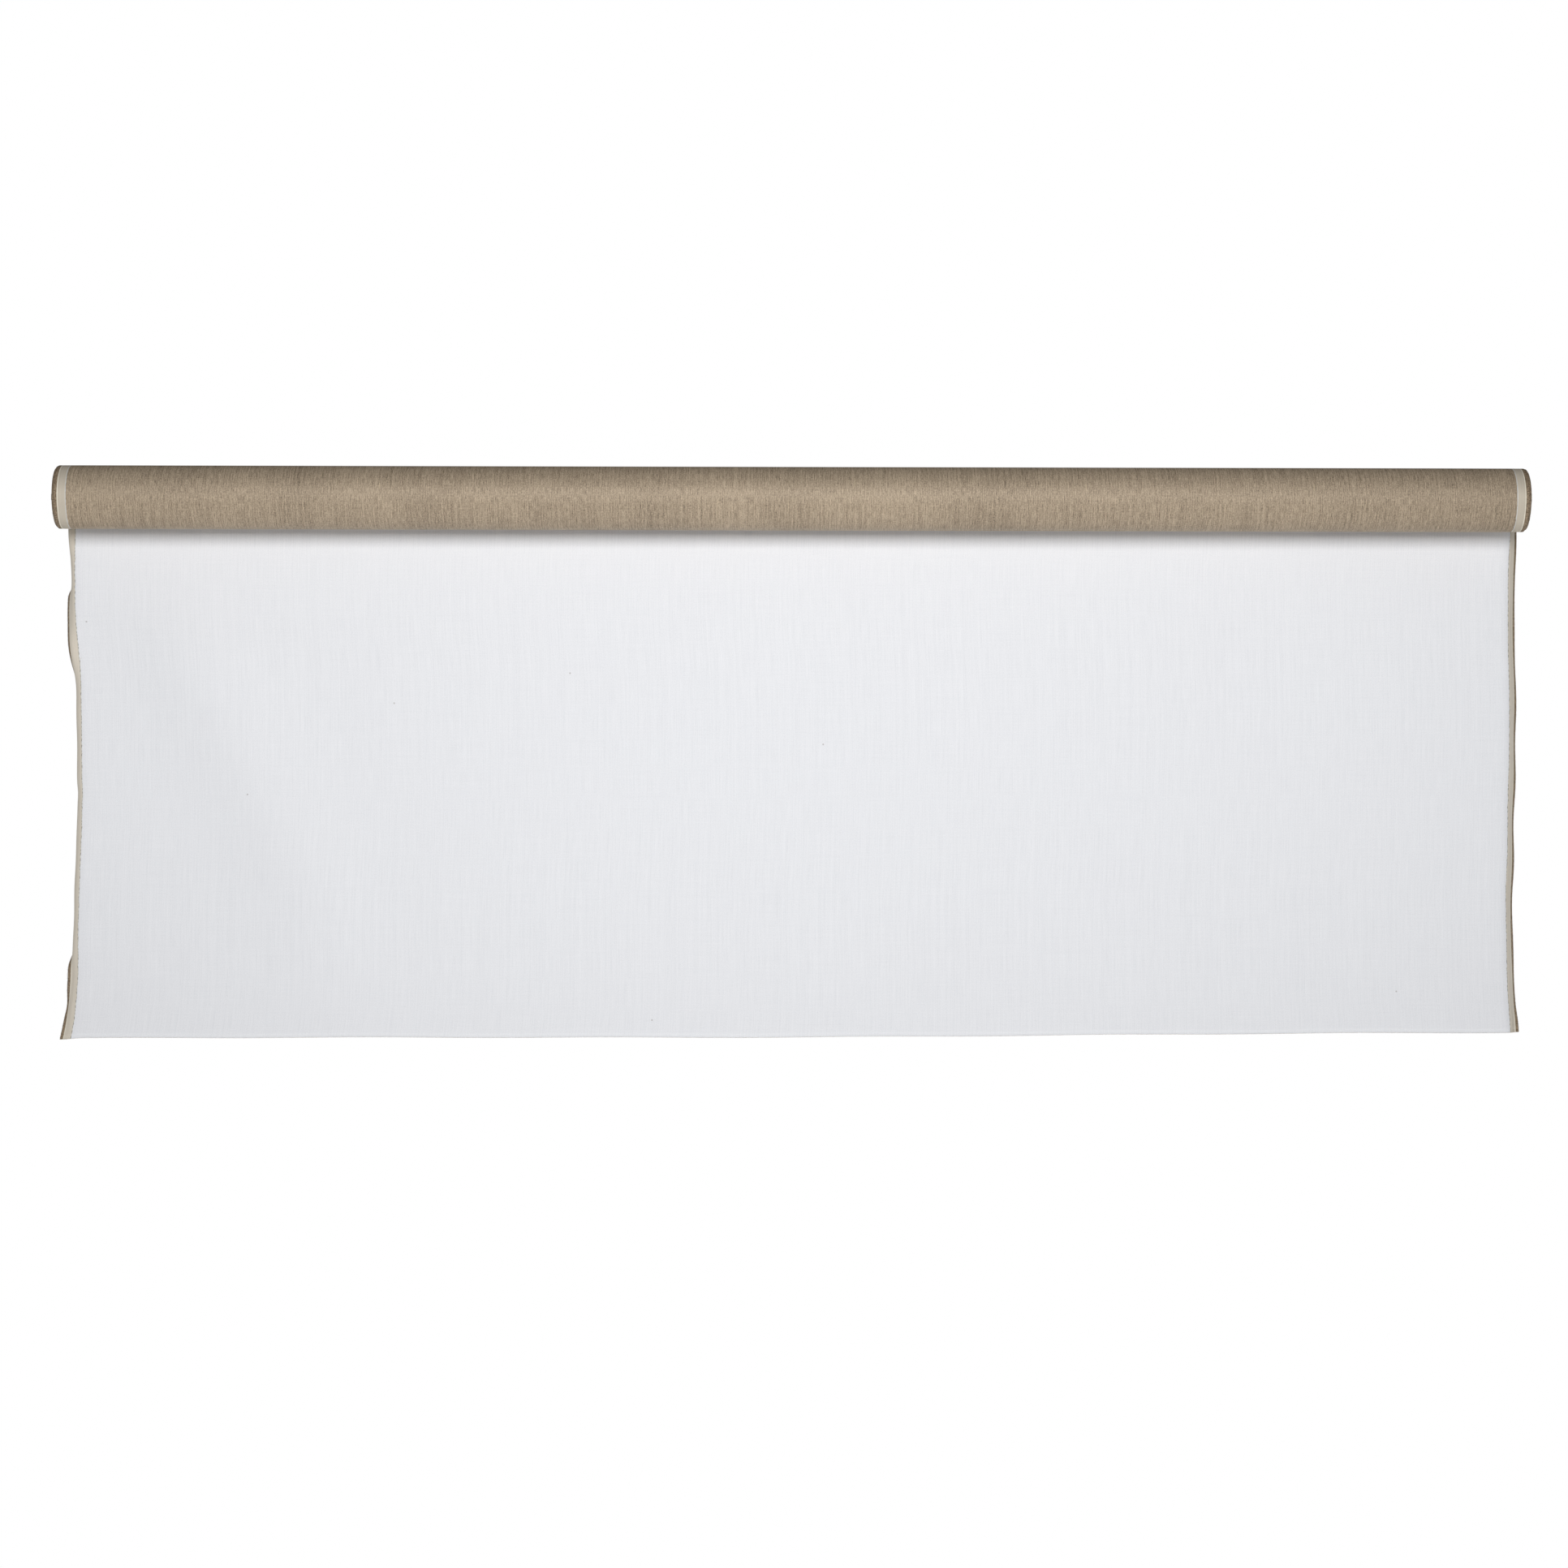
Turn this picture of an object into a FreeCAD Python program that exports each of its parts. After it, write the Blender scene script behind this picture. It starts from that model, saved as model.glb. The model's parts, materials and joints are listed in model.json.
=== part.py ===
"""A cordless spring roller blind: cloth wound on a tube that turns on a fixed flat pin and a round pin.

The origin is on the roller's axis, at the outer face of the end cap on the spring side, where the flat
blade of the spear comes out. +X runs along the roller to the idle pin, +Y goes away from the room, and
+Z is up. The cloth leaves the back of the roll and hangs down.
"""

import FreeCAD, Part
import math
import os
import re

import Sketcher

SHEET_NAME = "Sizes"

# Driving dimensions, in millimetres, degrees or plain counts.
DIMENSIONS = {
    # roller
    "roller_length": 1190.0,
    "tube_radius": 19.0,
    "tube_wall": 2.0,
    "flange_thickness": 2.0,
    "plug_gap": 0.05,
    # cloth
    "cloth_width": 1200.0,
    "cloth_overhang": 5.0,
    "cloth_thickness": 0.5,
    "winding_pitch": 0.54,
    "winding_turns": 13.0,
    "winding_start_gap": 0.2,
    "hang_gap": 0.3,
    "hang_depth": 439.0,
    "hang_bow": 14.0,
    "hang_bow_span": 1.3,
    "hang_curl": 28.0,
    "hang_curl_power": 6.0,
    "tail_depth": 30.0,
    "drop_curve_steps": 8,
    "tail_facets": 4,
    # fixing tape
    "tape_width": 20.0,
    "tape_thickness": 0.15,
    "tape_gap": 0.02,
    "tape_inset": 3.0,
    # end cap on the spring side
    "cap_depth": 20.0,
    "cap_wall": 2.15,
    "recess_depth": 4.6,
    "floor_thickness": 2.0,
    "floor_hole_radius": 5.05,
    # spear
    "blade_reach": 9.5,
    "blade_thickness": 3.2,
    "blade_height": 7.0,
    "blade_root": 4.3,
    "blade_chamfer": 1.2,
    "shank_radius": 3.0,
    "shank_end": 30.0,
    "clip_groove_depth": 0.6,
    # ratchet and pawls
    "ratchet_radius": 6.9,
    "ratchet_start": 1.9,
    "ratchet_thickness": 2.3,
    "blade_slot_gap": 0.05,
    "notch_face_angle": 35.0,
    "notch_depth": 1.8,
    "notch_ramp_angle": 4.0,
    "pawl_start": 2.0,
    "pawl_thickness": 2.2,
    "pawl_pivot_radius": 11.0,
    "pawl_boss_radius": 2.6,
    "pawl_heel_gap": 0.05,
    "pawl_nose_out": 4.22,
    "pawl_nose_up": 6.02,
    "pawl_back_out": 6.16,
    "pawl_back_up": 7.88,
    "pawl_shoulder_out": 1.67,
    "pawl_shoulder_up": 12.99,
    "pawl_bore_gap": 0.07,
    "pawl_pin_radius": 1.2,
    "pawl_pin_head_radius": 2.2,
    "pawl_pin_head_start": 0.9,
    "pawl_pin_head_thickness": 0.8,
    "pawl_pin_end": 6.8,
    # bearing of the spear and its clip
    "bush_bore_gap": 0.06,
    "bush_flange_radius": 6.5,
    "bush_flange_start": 6.7,
    "bush_flange_thickness": 1.0,
    "clip_start": 8.0,
    "clip_thickness": 1.0,
    "clip_radius": 5.2,
    "clip_mouth": 4.0,
    # spring rod, its rivet, the collar and its screw
    "rod_radius": 6.5,
    "rod_start": 12.0,
    "rod_end": 372.0,
    "rod_bore_depth": 19.0,
    "rivet_radius": 1.25,
    "rivet_place": 22.0,
    "rivet_length": 12.4,
    "collar_start": 36.0,
    "collar_length": 10.0,
    "collar_radius": 10.4,
    "screw_radius": 1.5,
    "screw_bottom": 5.0,
    "screw_length": 5.2,
    "screw_slot": 0.6,
    # torsion spring and the plug that turns with it
    "spring_radius": 9.0,
    "spring_wire": 1.8,
    "spring_turns": 60.0,
    "spring_end_gap": 0.3,
    "tail_plug_start": 346.0,
    "tail_plug_length": 20.0,
    "rod_bush_radius": 9.0,
    "rod_bush_bore": 6.6,
    "rod_bush_flange_radius": 11.0,
    "rod_bush_flange_thickness": 1.5,
    # idle end
    "idle_plug_length": 28.0,
    "idle_pin_radius": 2.4,
    "idle_pin_root_radius": 2.6,
    "idle_pin_root_length": 24.0,
    "idle_pin_reach": 9.5,
    "idle_pin_chamfer": 0.8,
    # nails through the tube
    "nail_radius": 1.0,
    "nail_head_radius": 18.8,
    "nail_length": 4.6,
    "nails_per_ring": 3.0,
    "cap_nail_place": 14.0,
    "idle_nail_inset": 12.0,
    # a small clearance for fasteners in their holes
    "hole_gap": 0.05,
}

document = FreeCAD.newDocument("RollerBlind")
sheet = document.addObject("Spreadsheet::Sheet", SHEET_NAME)
ALIAS = re.compile(r"[a-z]+(?:_[a-z]+)+")


def fill_sheet():
    """One row per driving dimension: its name in column A, its value with its alias in column B."""
    for row, (alias, value) in enumerate(DIMENSIONS.items(), start=1):
        sheet.set(f"A{row}", alias)
        sheet.set(f"B{row}", str(value))
        sheet.setAlias(f"B{row}", alias)
    document.recompute()


def size(alias):
    """A driving dimension as a plain number, read from the sheet."""
    return float(sheet.get(alias))


def bound(text):
    """The expression text with each dimension's name pointed at the sheet."""
    return ALIAS.sub(lambda word: f"{SHEET_NAME}.{word.group(0)}", text)


def value_of(text):
    """What an expression of dimension names comes to now."""
    return float(sheet.evalExpression(bound(text)))


def bind(thing, **properties):
    """Bind properties of an object to expressions; place_x, place_y and place_z are its position."""
    for name, text in properties.items():
        path = name.replace("place_", "Placement.Base.")
        thing.setExpression(path, bound(text))


def new_body(label):
    body = document.addObject("PartDesign::Body", label)
    body.Label = label
    return body


def origin_feature(body, role):
    return next(f for f in body.Origin.OriginFeatures if f.Role == role)


def new_sketch(body, label, plane="XY_Plane"):
    sketch = body.newObject("Sketcher::SketchObject", label)
    sketch.AttachmentSupport = [(origin_feature(body, plane), "")]
    sketch.MapMode = "FlatFace"
    return sketch


def fix_coordinate(sketch, kind, axis, corner, text):
    """Hold one coordinate of a sketch point: on the axis where it is zero, else at its expression."""
    value = value_of(text)
    if abs(value) < 1e-9:
        sketch.addConstraint(Sketcher.Constraint("PointOnObject", *corner, axis))
        return
    index = sketch.addConstraint(Sketcher.Constraint(kind, -1, 1, *corner, value))
    sketch.setExpression(f"Constraints[{index}]", bound(text))


def draw_outline(sketch, corners):
    """A closed outline of straight lines through corners given as pairs of expressions."""
    points = [FreeCAD.Vector(value_of(a), value_of(b), 0) for a, b in corners]
    count = len(points)
    first = sketch.GeometryCount
    for index in range(count):
        line = Part.LineSegment(points[index], points[(index + 1) % count])
        sketch.addGeometry(line, False)
    for index in range(count):
        following = first + (index + 1) % count
        sketch.addConstraint(Sketcher.Constraint("Coincident", first + index, 2, following, 1))
    for index, (across, up) in enumerate(corners):
        corner = (first + index, 1)
        fix_coordinate(sketch, "DistanceX", -2, corner, across)
        fix_coordinate(sketch, "DistanceY", -1, corner, up)


def draw_circle(sketch, radius, across="0", up="0"):
    """A circle whose centre and radius are expressions."""
    centre = FreeCAD.Vector(value_of(across), value_of(up), 0)
    normal = FreeCAD.Vector(0, 0, 1)
    index = sketch.addGeometry(Part.Circle(centre, normal, value_of(radius)), False)
    fix_coordinate(sketch, "DistanceX", -2, (index, 3), across)
    fix_coordinate(sketch, "DistanceY", -1, (index, 3), up)
    held = sketch.addConstraint(Sketcher.Constraint("Radius", index, value_of(radius)))
    sketch.setExpression(f"Constraints[{held}]", bound(radius))


def revolve(body, label, corners, start="0", angle=None):
    """A turned piece: an outline of (place along X, radius) pairs turned about the roller's axis."""
    sketch = new_sketch(body, f"{label}_outline")
    draw_outline(sketch, corners)
    turned = body.newObject("PartDesign::Revolution", f"{label}_turned")
    turned.Profile = sketch
    turned.ReferenceAxis = (sketch, ["H_Axis"])
    turned.Angle = 360.0
    if angle:
        turned.setExpression("Angle", bound(angle))
    bind(body, place_x=start)
    body.Tip = turned
    return turned


def pad(body, label, sketch, length, middle=False):
    feature = body.newObject("PartDesign::Pad", f"{label}_pad")
    feature.Profile = sketch
    feature.Length = 1.0
    feature.setExpression("Length", bound(length))
    feature.Midplane = middle
    body.Tip = feature
    return feature


def cut_through(body, label, sketch, both_ways=True, reverse=False, length=None):
    """A pocket that is checked to have taken material away."""
    document.recompute()
    before = body.Shape.Volume
    feature = body.newObject("PartDesign::Pocket", f"{label}_cut")
    feature.Profile = sketch
    feature.Midplane = both_ways
    feature.Reversed = reverse
    if length:
        feature.setExpression("Length", bound(length))
    else:
        feature.Type = "ThroughAll"
    body.Tip = feature
    document.recompute()
    if body.Shape.Volume >= before:
        raise RuntimeError(f"{label} cuts nothing")
    return feature


def around_axis(body, label, features, count):
    """Repeat features around the roller's axis."""
    document.recompute()
    pattern = body.newObject("PartDesign::PolarPattern", f"{label}_around")
    pattern.Originals = features
    pattern.Axis = (origin_feature(body, "X_Axis"), [""])
    pattern.Angle = 360.0
    pattern.Occurrences = int(count)
    body.Tip = pattern
    return pattern


def chamfer(body, label, base, edges, width):
    feature = body.newObject("PartDesign::Chamfer", f"{label}_chamfer")
    feature.Base = (base, edges)
    feature.Size = 0.1
    feature.setExpression("Size", bound(width))
    body.Tip = feature
    return feature


def edges_where(shape, wanted):
    """The names of the edges whose middle satisfies a test."""
    names = []
    for index, edge in enumerate(shape.Edges, start=1):
        middle = edge.valueAt((edge.FirstParameter + edge.LastParameter) / 2)
        if wanted(middle):
            names.append(f"Edge{index}")
    return names


def radial_holes(body, label, place, reach, count, gap="nail_radius + hole_gap"):
    """Round holes that run out from the axis, evenly spaced around it."""
    sketch = new_sketch(body, f"{label}_holes", "XY_Plane")
    draw_circle(sketch, gap, across=place)
    hole = cut_through(body, label, sketch, both_ways=False, reverse=True, length=reach)
    if count > 1:
        around_axis(body, label, [hole], count)
    return hole


# Pieces that the bracket holds still


def make_spear():
    """A flat blade that sits in a slotted bracket, with a round shank that reaches into the rod."""
    body = new_body("spear")
    shank = [
        ("blade_root", "0"),
        ("blade_root", "shank_radius"),
        ("clip_start - hole_gap", "shank_radius"),
        ("clip_start - hole_gap", "shank_radius - clip_groove_depth"),
        ("clip_start + clip_thickness + hole_gap", "shank_radius - clip_groove_depth"),
        ("clip_start + clip_thickness + hole_gap", "shank_radius"),
        ("shank_end", "shank_radius"),
        ("shank_end", "0"),
    ]
    revolve(body, "spear", shank)
    sketch = new_sketch(body, "spear_blade_outline")
    blade = [
        ("-blade_reach", "-blade_thickness / 2"),
        ("blade_root", "-blade_thickness / 2"),
        ("blade_root", "blade_thickness / 2"),
        ("-blade_reach", "blade_thickness / 2"),
    ]
    draw_outline(sketch, blade)
    flat = pad(body, "spear_blade", sketch, "blade_height", middle=True)
    rivet_hole = new_sketch(body, "spear_rivet_hole")
    draw_circle(rivet_hole, "rivet_radius + hole_gap", across="rivet_place")
    drilled = cut_through(body, "spear_rivet", rivet_hole)
    tip = -size("blade_reach")
    top = size("blade_height") / 2
    at_tip = edges_where(
        drilled.Shape, lambda p: abs(p.x - tip) < 1e-3 and abs(abs(p.z) - top) < 1e-3
    )
    chamfer(body, "spear", drilled, at_tip, "blade_chamfer")
    return flat


def make_ratchet():
    """A wheel with two notches, fixed on the flat of the spear."""
    body = new_body("ratchet")
    disc = new_sketch(body, "ratchet_disc", "YZ_Plane")
    draw_circle(disc, "ratchet_radius")
    pad(body, "ratchet", disc, "ratchet_thickness")
    slot = new_sketch(body, "ratchet_slot", "YZ_Plane")
    half_thick = "(blade_thickness / 2 + blade_slot_gap)"
    half_high = "(blade_height / 2 + blade_slot_gap)"
    draw_outline(
        slot,
        [
            (f"-{half_thick}", f"-{half_high}"),
            (half_thick, f"-{half_high}"),
            (half_thick, half_high),
            (f"-{half_thick}", half_high),
        ],
    )
    cut_through(body, "ratchet_slot", slot)
    notch = new_sketch(body, "ratchet_notch", "YZ_Plane")
    deep = "(ratchet_radius - notch_depth)"
    clear = "(ratchet_radius + notch_depth)"
    draw_outline(
        notch,
        [
            (f"-{deep} * sin(notch_face_angle)", f"{deep} * cos(notch_face_angle)"),
            (f"-{clear} * sin(notch_face_angle)", f"{clear} * cos(notch_face_angle)"),
            (f"-{clear} * sin(notch_ramp_angle)", f"{clear} * cos(notch_ramp_angle)"),
            ("-ratchet_radius * sin(notch_ramp_angle)", "ratchet_radius * cos(notch_ramp_angle)"),
        ],
    )
    cut = cut_through(body, "ratchet_notch", notch)
    around_axis(body, "ratchet", [cut], 2)
    bind(body, place_x="ratchet_start")


def make_spring_rod():
    """The wooden rod that the spring lies round; the spear's shank is let into its end."""
    body = new_body("spring_rod")
    corners = [
        ("rod_bore_depth", "0"),
        ("rod_bore_depth", "shank_radius + hole_gap"),
        ("0", "shank_radius + hole_gap"),
        ("0", "rod_radius"),
        ("rod_end - rod_start", "rod_radius"),
        ("rod_end - rod_start", "0"),
    ]
    revolve(body, "spring_rod", corners, start="rod_start")
    rivet_hole = new_sketch(body, "rod_rivet_hole")
    draw_circle(rivet_hole, "rivet_radius + hole_gap", across="rivet_place - rod_start")
    cut_through(body, "rod_rivet", rivet_hole)
    screw_hole = new_sketch(body, "rod_screw_hole")
    draw_circle(
        screw_hole,
        "screw_radius + hole_gap",
        across="collar_start + collar_length / 2 - rod_start",
    )
    screw_hole.setExpression("AttachmentOffset.Base.z", bound("screw_bottom - hole_gap"))
    cut_through(
        body, "rod_screw", screw_hole, both_ways=False, reverse=True, length="rod_radius"
    )


def make_spear_rivet():
    """The cross pin that holds the spear in the rod."""
    rivet = document.addObject("Part::Cylinder", "spear_rivet")
    rivet.Label = "spear_rivet"
    bind(
        rivet,
        Radius="rivet_radius",
        Height="rivet_length",
        place_x="rivet_place",
        place_z="-rivet_length / 2",
    )


def make_spring_collar():
    """The ring on the rod that the spring's still end is hooked to."""
    body = new_body("spring_collar")
    corners = [
        ("0", "rod_radius + hole_gap"),
        ("0", "collar_radius"),
        ("collar_length", "collar_radius"),
        ("collar_length", "rod_radius + hole_gap"),
    ]
    revolve(body, "spring_collar", corners, start="collar_start")
    radial_holes(
        body,
        "collar_screw",
        "collar_length / 2",
        "collar_radius + hole_gap",
        1,
        gap="screw_radius + hole_gap",
    )


def make_collar_screw():
    """A headless slotted screw through the collar into the rod."""
    shank = document.addObject("Part::Cylinder", "collar_screw_shank")
    bind(
        shank,
        Radius="screw_radius",
        Height="screw_length",
        place_x="collar_start + collar_length / 2",
        place_z="screw_bottom",
    )
    slot = document.addObject("Part::Box", "collar_screw_slot")
    bind(
        slot,
        Length="screw_radius * 4",
        Width="screw_slot",
        Height="screw_slot * 2",
        place_x="collar_start + collar_length / 2 - screw_radius * 2",
        place_y="-screw_slot / 2",
        place_z="screw_bottom + screw_length - screw_slot",
    )
    screw = document.addObject("Part::Cut", "collar_screw")
    screw.Label = "collar_screw"
    screw.Base = shank
    screw.Tool = slot


def make_retaining_clip():
    """An open ring in the shank's groove, which keeps the spear in the end cap."""
    body = new_body("retaining_clip")
    ring = new_sketch(body, "clip_ring", "YZ_Plane")
    draw_circle(ring, "clip_radius")
    draw_circle(ring, "shank_radius - clip_groove_depth + hole_gap")
    pad(body, "retaining_clip", ring, "clip_thickness")
    mouth = new_sketch(body, "clip_mouth_outline", "YZ_Plane")
    draw_outline(
        mouth,
        [
            ("-clip_mouth / 2", "0"),
            ("clip_mouth / 2", "0"),
            ("clip_mouth / 2", "clip_radius + clip_mouth"),
            ("-clip_mouth / 2", "clip_radius + clip_mouth"),
        ],
    )
    cut_through(body, "retaining_clip", mouth)
    bind(body, place_x="clip_start")


def make_torsion_spring():
    """A close helix of round wire, from the collar to the plug that turns with the tube."""
    helix = document.addObject("Part::Helix", "spring_helix")
    length = "(tail_plug_start - collar_start - collar_length - 2 * spring_end_gap - spring_wire)"
    bind(
        helix,
        Pitch=f"{length} / spring_turns",
        Height=length,
        Radius="spring_radius",
    )
    section = document.addObject("Part::Circle", "spring_section")
    bind(section, Radius="spring_wire / 2", place_x="spring_radius")
    section.Placement.Rotation = FreeCAD.Rotation(FreeCAD.Vector(1, 0, 0), 90)
    spring = document.addObject("Part::Sweep", "torsion_spring")
    spring.Label = "torsion_spring"
    spring.Sections = [section]
    spring.Spine = (helix, [])
    spring.Solid = True
    spring.Frenet = True
    spring.Placement.Rotation = FreeCAD.Rotation(FreeCAD.Vector(0, 1, 0), 90)
    bind(spring, place_x="collar_start + collar_length + spring_end_gap + spring_wire / 2")


# Pieces that turn with the roller


def make_core_tube():
    """The tube that the cloth is wound on, drilled for the nails at its two ends and at the tail plug."""
    body = new_body("core_tube")
    corners = [
        ("0", "tube_radius - tube_wall"),
        ("0", "tube_radius"),
        ("roller_length - 2 * flange_thickness", "tube_radius"),
        ("roller_length - 2 * flange_thickness", "tube_radius - tube_wall"),
    ]
    revolve(body, "core_tube", corners, start="flange_thickness")
    for label, place in nail_rings().items():
        radial_holes(
            body,
            f"tube_{label}",
            f"{place} - flange_thickness",
            "tube_radius + tube_wall",
            size("nails_per_ring"),
        )


def nail_rings():
    """Where the rings of nails go through the tube, along X."""
    return {
        "cap": "cap_nail_place",
        "tail": "tail_plug_start + tail_plug_length / 2",
        "idle": "roller_length - flange_thickness - idle_nail_inset",
    }


def make_plug_nails():
    """Nine short nails in three rings, which hold the cap and both plugs in the tube."""
    body = new_body("plug_nails")
    body.AllowCompound = True
    for label, place in nail_rings().items():
        sketch = new_sketch(body, f"{label}_nail_section")
        sketch.setExpression("AttachmentOffset.Base.z", bound("nail_head_radius - nail_length"))
        draw_circle(sketch, "nail_radius", across=place)
        nail = pad(body, f"{label}_nail", sketch, "nail_length")
        around_axis(body, f"{label}_nails", [nail], size("nails_per_ring"))


def make_end_cap():
    """A cup in the tube's end: its floor carries the spear's bush and the pins of both pawls."""
    body = new_body("end_cap")
    plug = "tube_radius - tube_wall - plug_gap"
    bore = f"{plug} - cap_wall"
    corners = [
        ("0", bore),
        ("0", "tube_radius"),
        ("flange_thickness", "tube_radius"),
        ("flange_thickness", plug),
        ("cap_depth", plug),
        ("cap_depth", bore),
        ("recess_depth + floor_thickness", bore),
        ("recess_depth + floor_thickness", "floor_hole_radius"),
        ("recess_depth", "floor_hole_radius"),
        ("recess_depth", bore),
    ]
    revolve(body, "end_cap", corners)
    pin_holes = new_sketch(body, "cap_pin_holes", "YZ_Plane")
    draw_circle(pin_holes, "pawl_pin_radius + hole_gap", up="pawl_pivot_radius")
    draw_circle(pin_holes, "pawl_pin_radius + hole_gap", up="-pawl_pivot_radius")
    cut_through(body, "cap_pins", pin_holes)
    radial_holes(body, "cap_nails", "cap_nail_place", "tube_radius", size("nails_per_ring"))


def make_spear_bush():
    """The flanged bearing between the still spear and the turning end cap."""
    body = new_body("spear_bush")
    sleeve = "floor_hole_radius - hole_gap"
    bore = "shank_radius + bush_bore_gap"
    corners = [
        ("recess_depth", bore),
        ("recess_depth", sleeve),
        ("bush_flange_start", sleeve),
        ("bush_flange_start", "bush_flange_radius"),
        ("bush_flange_start + bush_flange_thickness", "bush_flange_radius"),
        ("bush_flange_start + bush_flange_thickness", bore),
    ]
    revolve(body, "spear_bush", corners)


def make_pawl(label, turn):
    """A hook on a pin in the end cap; its nose drops towards the ratchet and swings out at speed."""
    body = new_body(label)
    boss = new_sketch(body, f"{label}_boss", "YZ_Plane")
    draw_circle(boss, "pawl_boss_radius", up="pawl_pivot_radius")
    pad(body, f"{label}_boss", boss, "pawl_thickness")
    arm = new_sketch(body, f"{label}_arm", "YZ_Plane")
    draw_outline(
        arm,
        [
            ("0", "pawl_pivot_radius - pawl_boss_radius + pawl_heel_gap"),
            ("-pawl_nose_out", "pawl_nose_up"),
            ("-pawl_back_out", "pawl_back_up"),
            ("-pawl_shoulder_out", "pawl_shoulder_up"),
            ("0", "pawl_shoulder_up"),
        ],
    )
    pad(body, f"{label}_arm", arm, "pawl_thickness")
    bore = new_sketch(body, f"{label}_bore", "YZ_Plane")
    draw_circle(bore, "pawl_pin_radius + pawl_bore_gap", up="pawl_pivot_radius")
    cut_through(body, f"{label}_bore", bore)
    body.Placement.Rotation = FreeCAD.Rotation(FreeCAD.Vector(1, 0, 0), turn)
    bind(body, place_x="pawl_start")


def make_pawl_pins():
    """The two headed pins that the pawls swing on, riveted through the end cap's floor."""
    body = new_body("pawl_pins")
    body.AllowCompound = True
    head = new_sketch(body, "pawl_pin_head", "YZ_Plane")
    draw_circle(head, "pawl_pin_head_radius", up="pawl_pivot_radius")
    heads = pad(body, "pawl_pin_head", head, "pawl_pin_head_thickness")
    shank = new_sketch(body, "pawl_pin_shank", "YZ_Plane")
    draw_circle(shank, "pawl_pin_radius", up="pawl_pivot_radius")
    shanks = pad(body, "pawl_pin_shank", shank, "pawl_pin_end - pawl_pin_head_start")
    around_axis(body, "pawl_pins", [heads, shanks], 2)
    bind(body, place_x="pawl_pin_head_start")


def make_tail_plug():
    """The plug fixed in the tube beyond the spring; it turns the spring and steadies the rod's end."""
    body = new_body("tail_plug")
    corners = [
        ("0", "rod_bush_radius + hole_gap"),
        ("0", "tube_radius - tube_wall - plug_gap"),
        ("tail_plug_length", "tube_radius - tube_wall - plug_gap"),
        ("tail_plug_length", "rod_bush_radius + hole_gap"),
    ]
    revolve(body, "tail_plug", corners, start="tail_plug_start")
    radial_holes(
        body,
        "tail_plug_nails",
        "tail_plug_length / 2",
        "tube_radius",
        size("nails_per_ring"),
    )


def make_rod_bush():
    """The flanged bearing of the rod's far end in the tail plug."""
    body = new_body("rod_bush")
    end = "tail_plug_length + rod_bush_flange_thickness"
    corners = [
        ("0", "rod_bush_bore"),
        ("0", "rod_bush_radius"),
        ("tail_plug_length", "rod_bush_radius"),
        ("tail_plug_length", "rod_bush_flange_radius"),
        (end, "rod_bush_flange_radius"),
        (end, "rod_bush_bore"),
    ]
    revolve(body, "rod_bush", corners, start="tail_plug_start")


def make_idle_plug():
    """The wooden plug in the tube's other end, bored for the root of the idle pin."""
    body = new_body("idle_plug")
    hole = "idle_pin_root_radius + hole_gap"
    bottom = "idle_plug_length + flange_thickness - idle_pin_root_length - hole_gap"
    plug = "tube_radius - tube_wall - plug_gap"
    corners = [
        (bottom, "0"),
        ("0", "0"),
        ("0", plug),
        ("idle_plug_length", plug),
        ("idle_plug_length", hole),
        (bottom, hole),
    ]
    start = "roller_length - flange_thickness - idle_plug_length"
    revolve(body, "idle_plug", corners, start=start)
    radial_holes(
        body,
        "idle_plug_nails",
        "idle_plug_length - idle_nail_inset",
        "tube_radius",
        size("nails_per_ring"),
    )


def make_idle_ferrule():
    """The metal cap that closes the tube over the idle plug."""
    body = new_body("idle_ferrule")
    corners = [
        ("0", "idle_pin_root_radius + hole_gap"),
        ("0", "tube_radius"),
        ("flange_thickness", "tube_radius"),
        ("flange_thickness", "idle_pin_root_radius + hole_gap"),
    ]
    revolve(body, "idle_ferrule", corners, start="roller_length - flange_thickness")


def make_idle_pin():
    """The round pin that turns in the other bracket, with a thicker root in the ferrule and plug."""
    body = new_body("idle_pin")
    root = "idle_pin_root_length"
    end = "idle_pin_root_length + idle_pin_reach"
    corners = [
        ("0", "0"),
        ("0", "idle_pin_root_radius"),
        (root, "idle_pin_root_radius"),
        (root, "idle_pin_radius"),
        (f"{end} - idle_pin_chamfer", "idle_pin_radius"),
        (end, "idle_pin_radius - idle_pin_chamfer"),
        (end, "0"),
    ]
    revolve(body, "idle_pin", corners, start="roller_length - idle_pin_root_length")


def make_fixing_tape():
    """The strip along the tube that the cloth's top edge is stuck to."""
    body = new_body("fixing_tape")
    low = "tube_radius + tape_gap"
    corners = [
        ("0", low),
        ("0", f"{low} + tape_thickness"),
        ("roller_length - 2 * tape_inset", f"{low} + tape_thickness"),
        ("roller_length - 2 * tape_inset", low),
    ]
    revolve(body, "fixing_tape", corners, start="tape_inset", angle="tape_width / tube_radius * 57.3")


def make_cloth_roll():
    """The wound cloth: thirteen turns on the tube, as one closed ring."""
    body = new_body("cloth_roll")
    inner = "tube_radius + winding_start_gap"
    outer = f"{inner} + winding_turns * winding_pitch"
    corners = [
        ("0", inner),
        ("0", outer),
        ("cloth_width", outer),
        ("cloth_width", inner),
    ]
    revolve(body, "cloth_roll", corners, start="-cloth_overhang")


# Cloth that hangs from the roll


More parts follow.
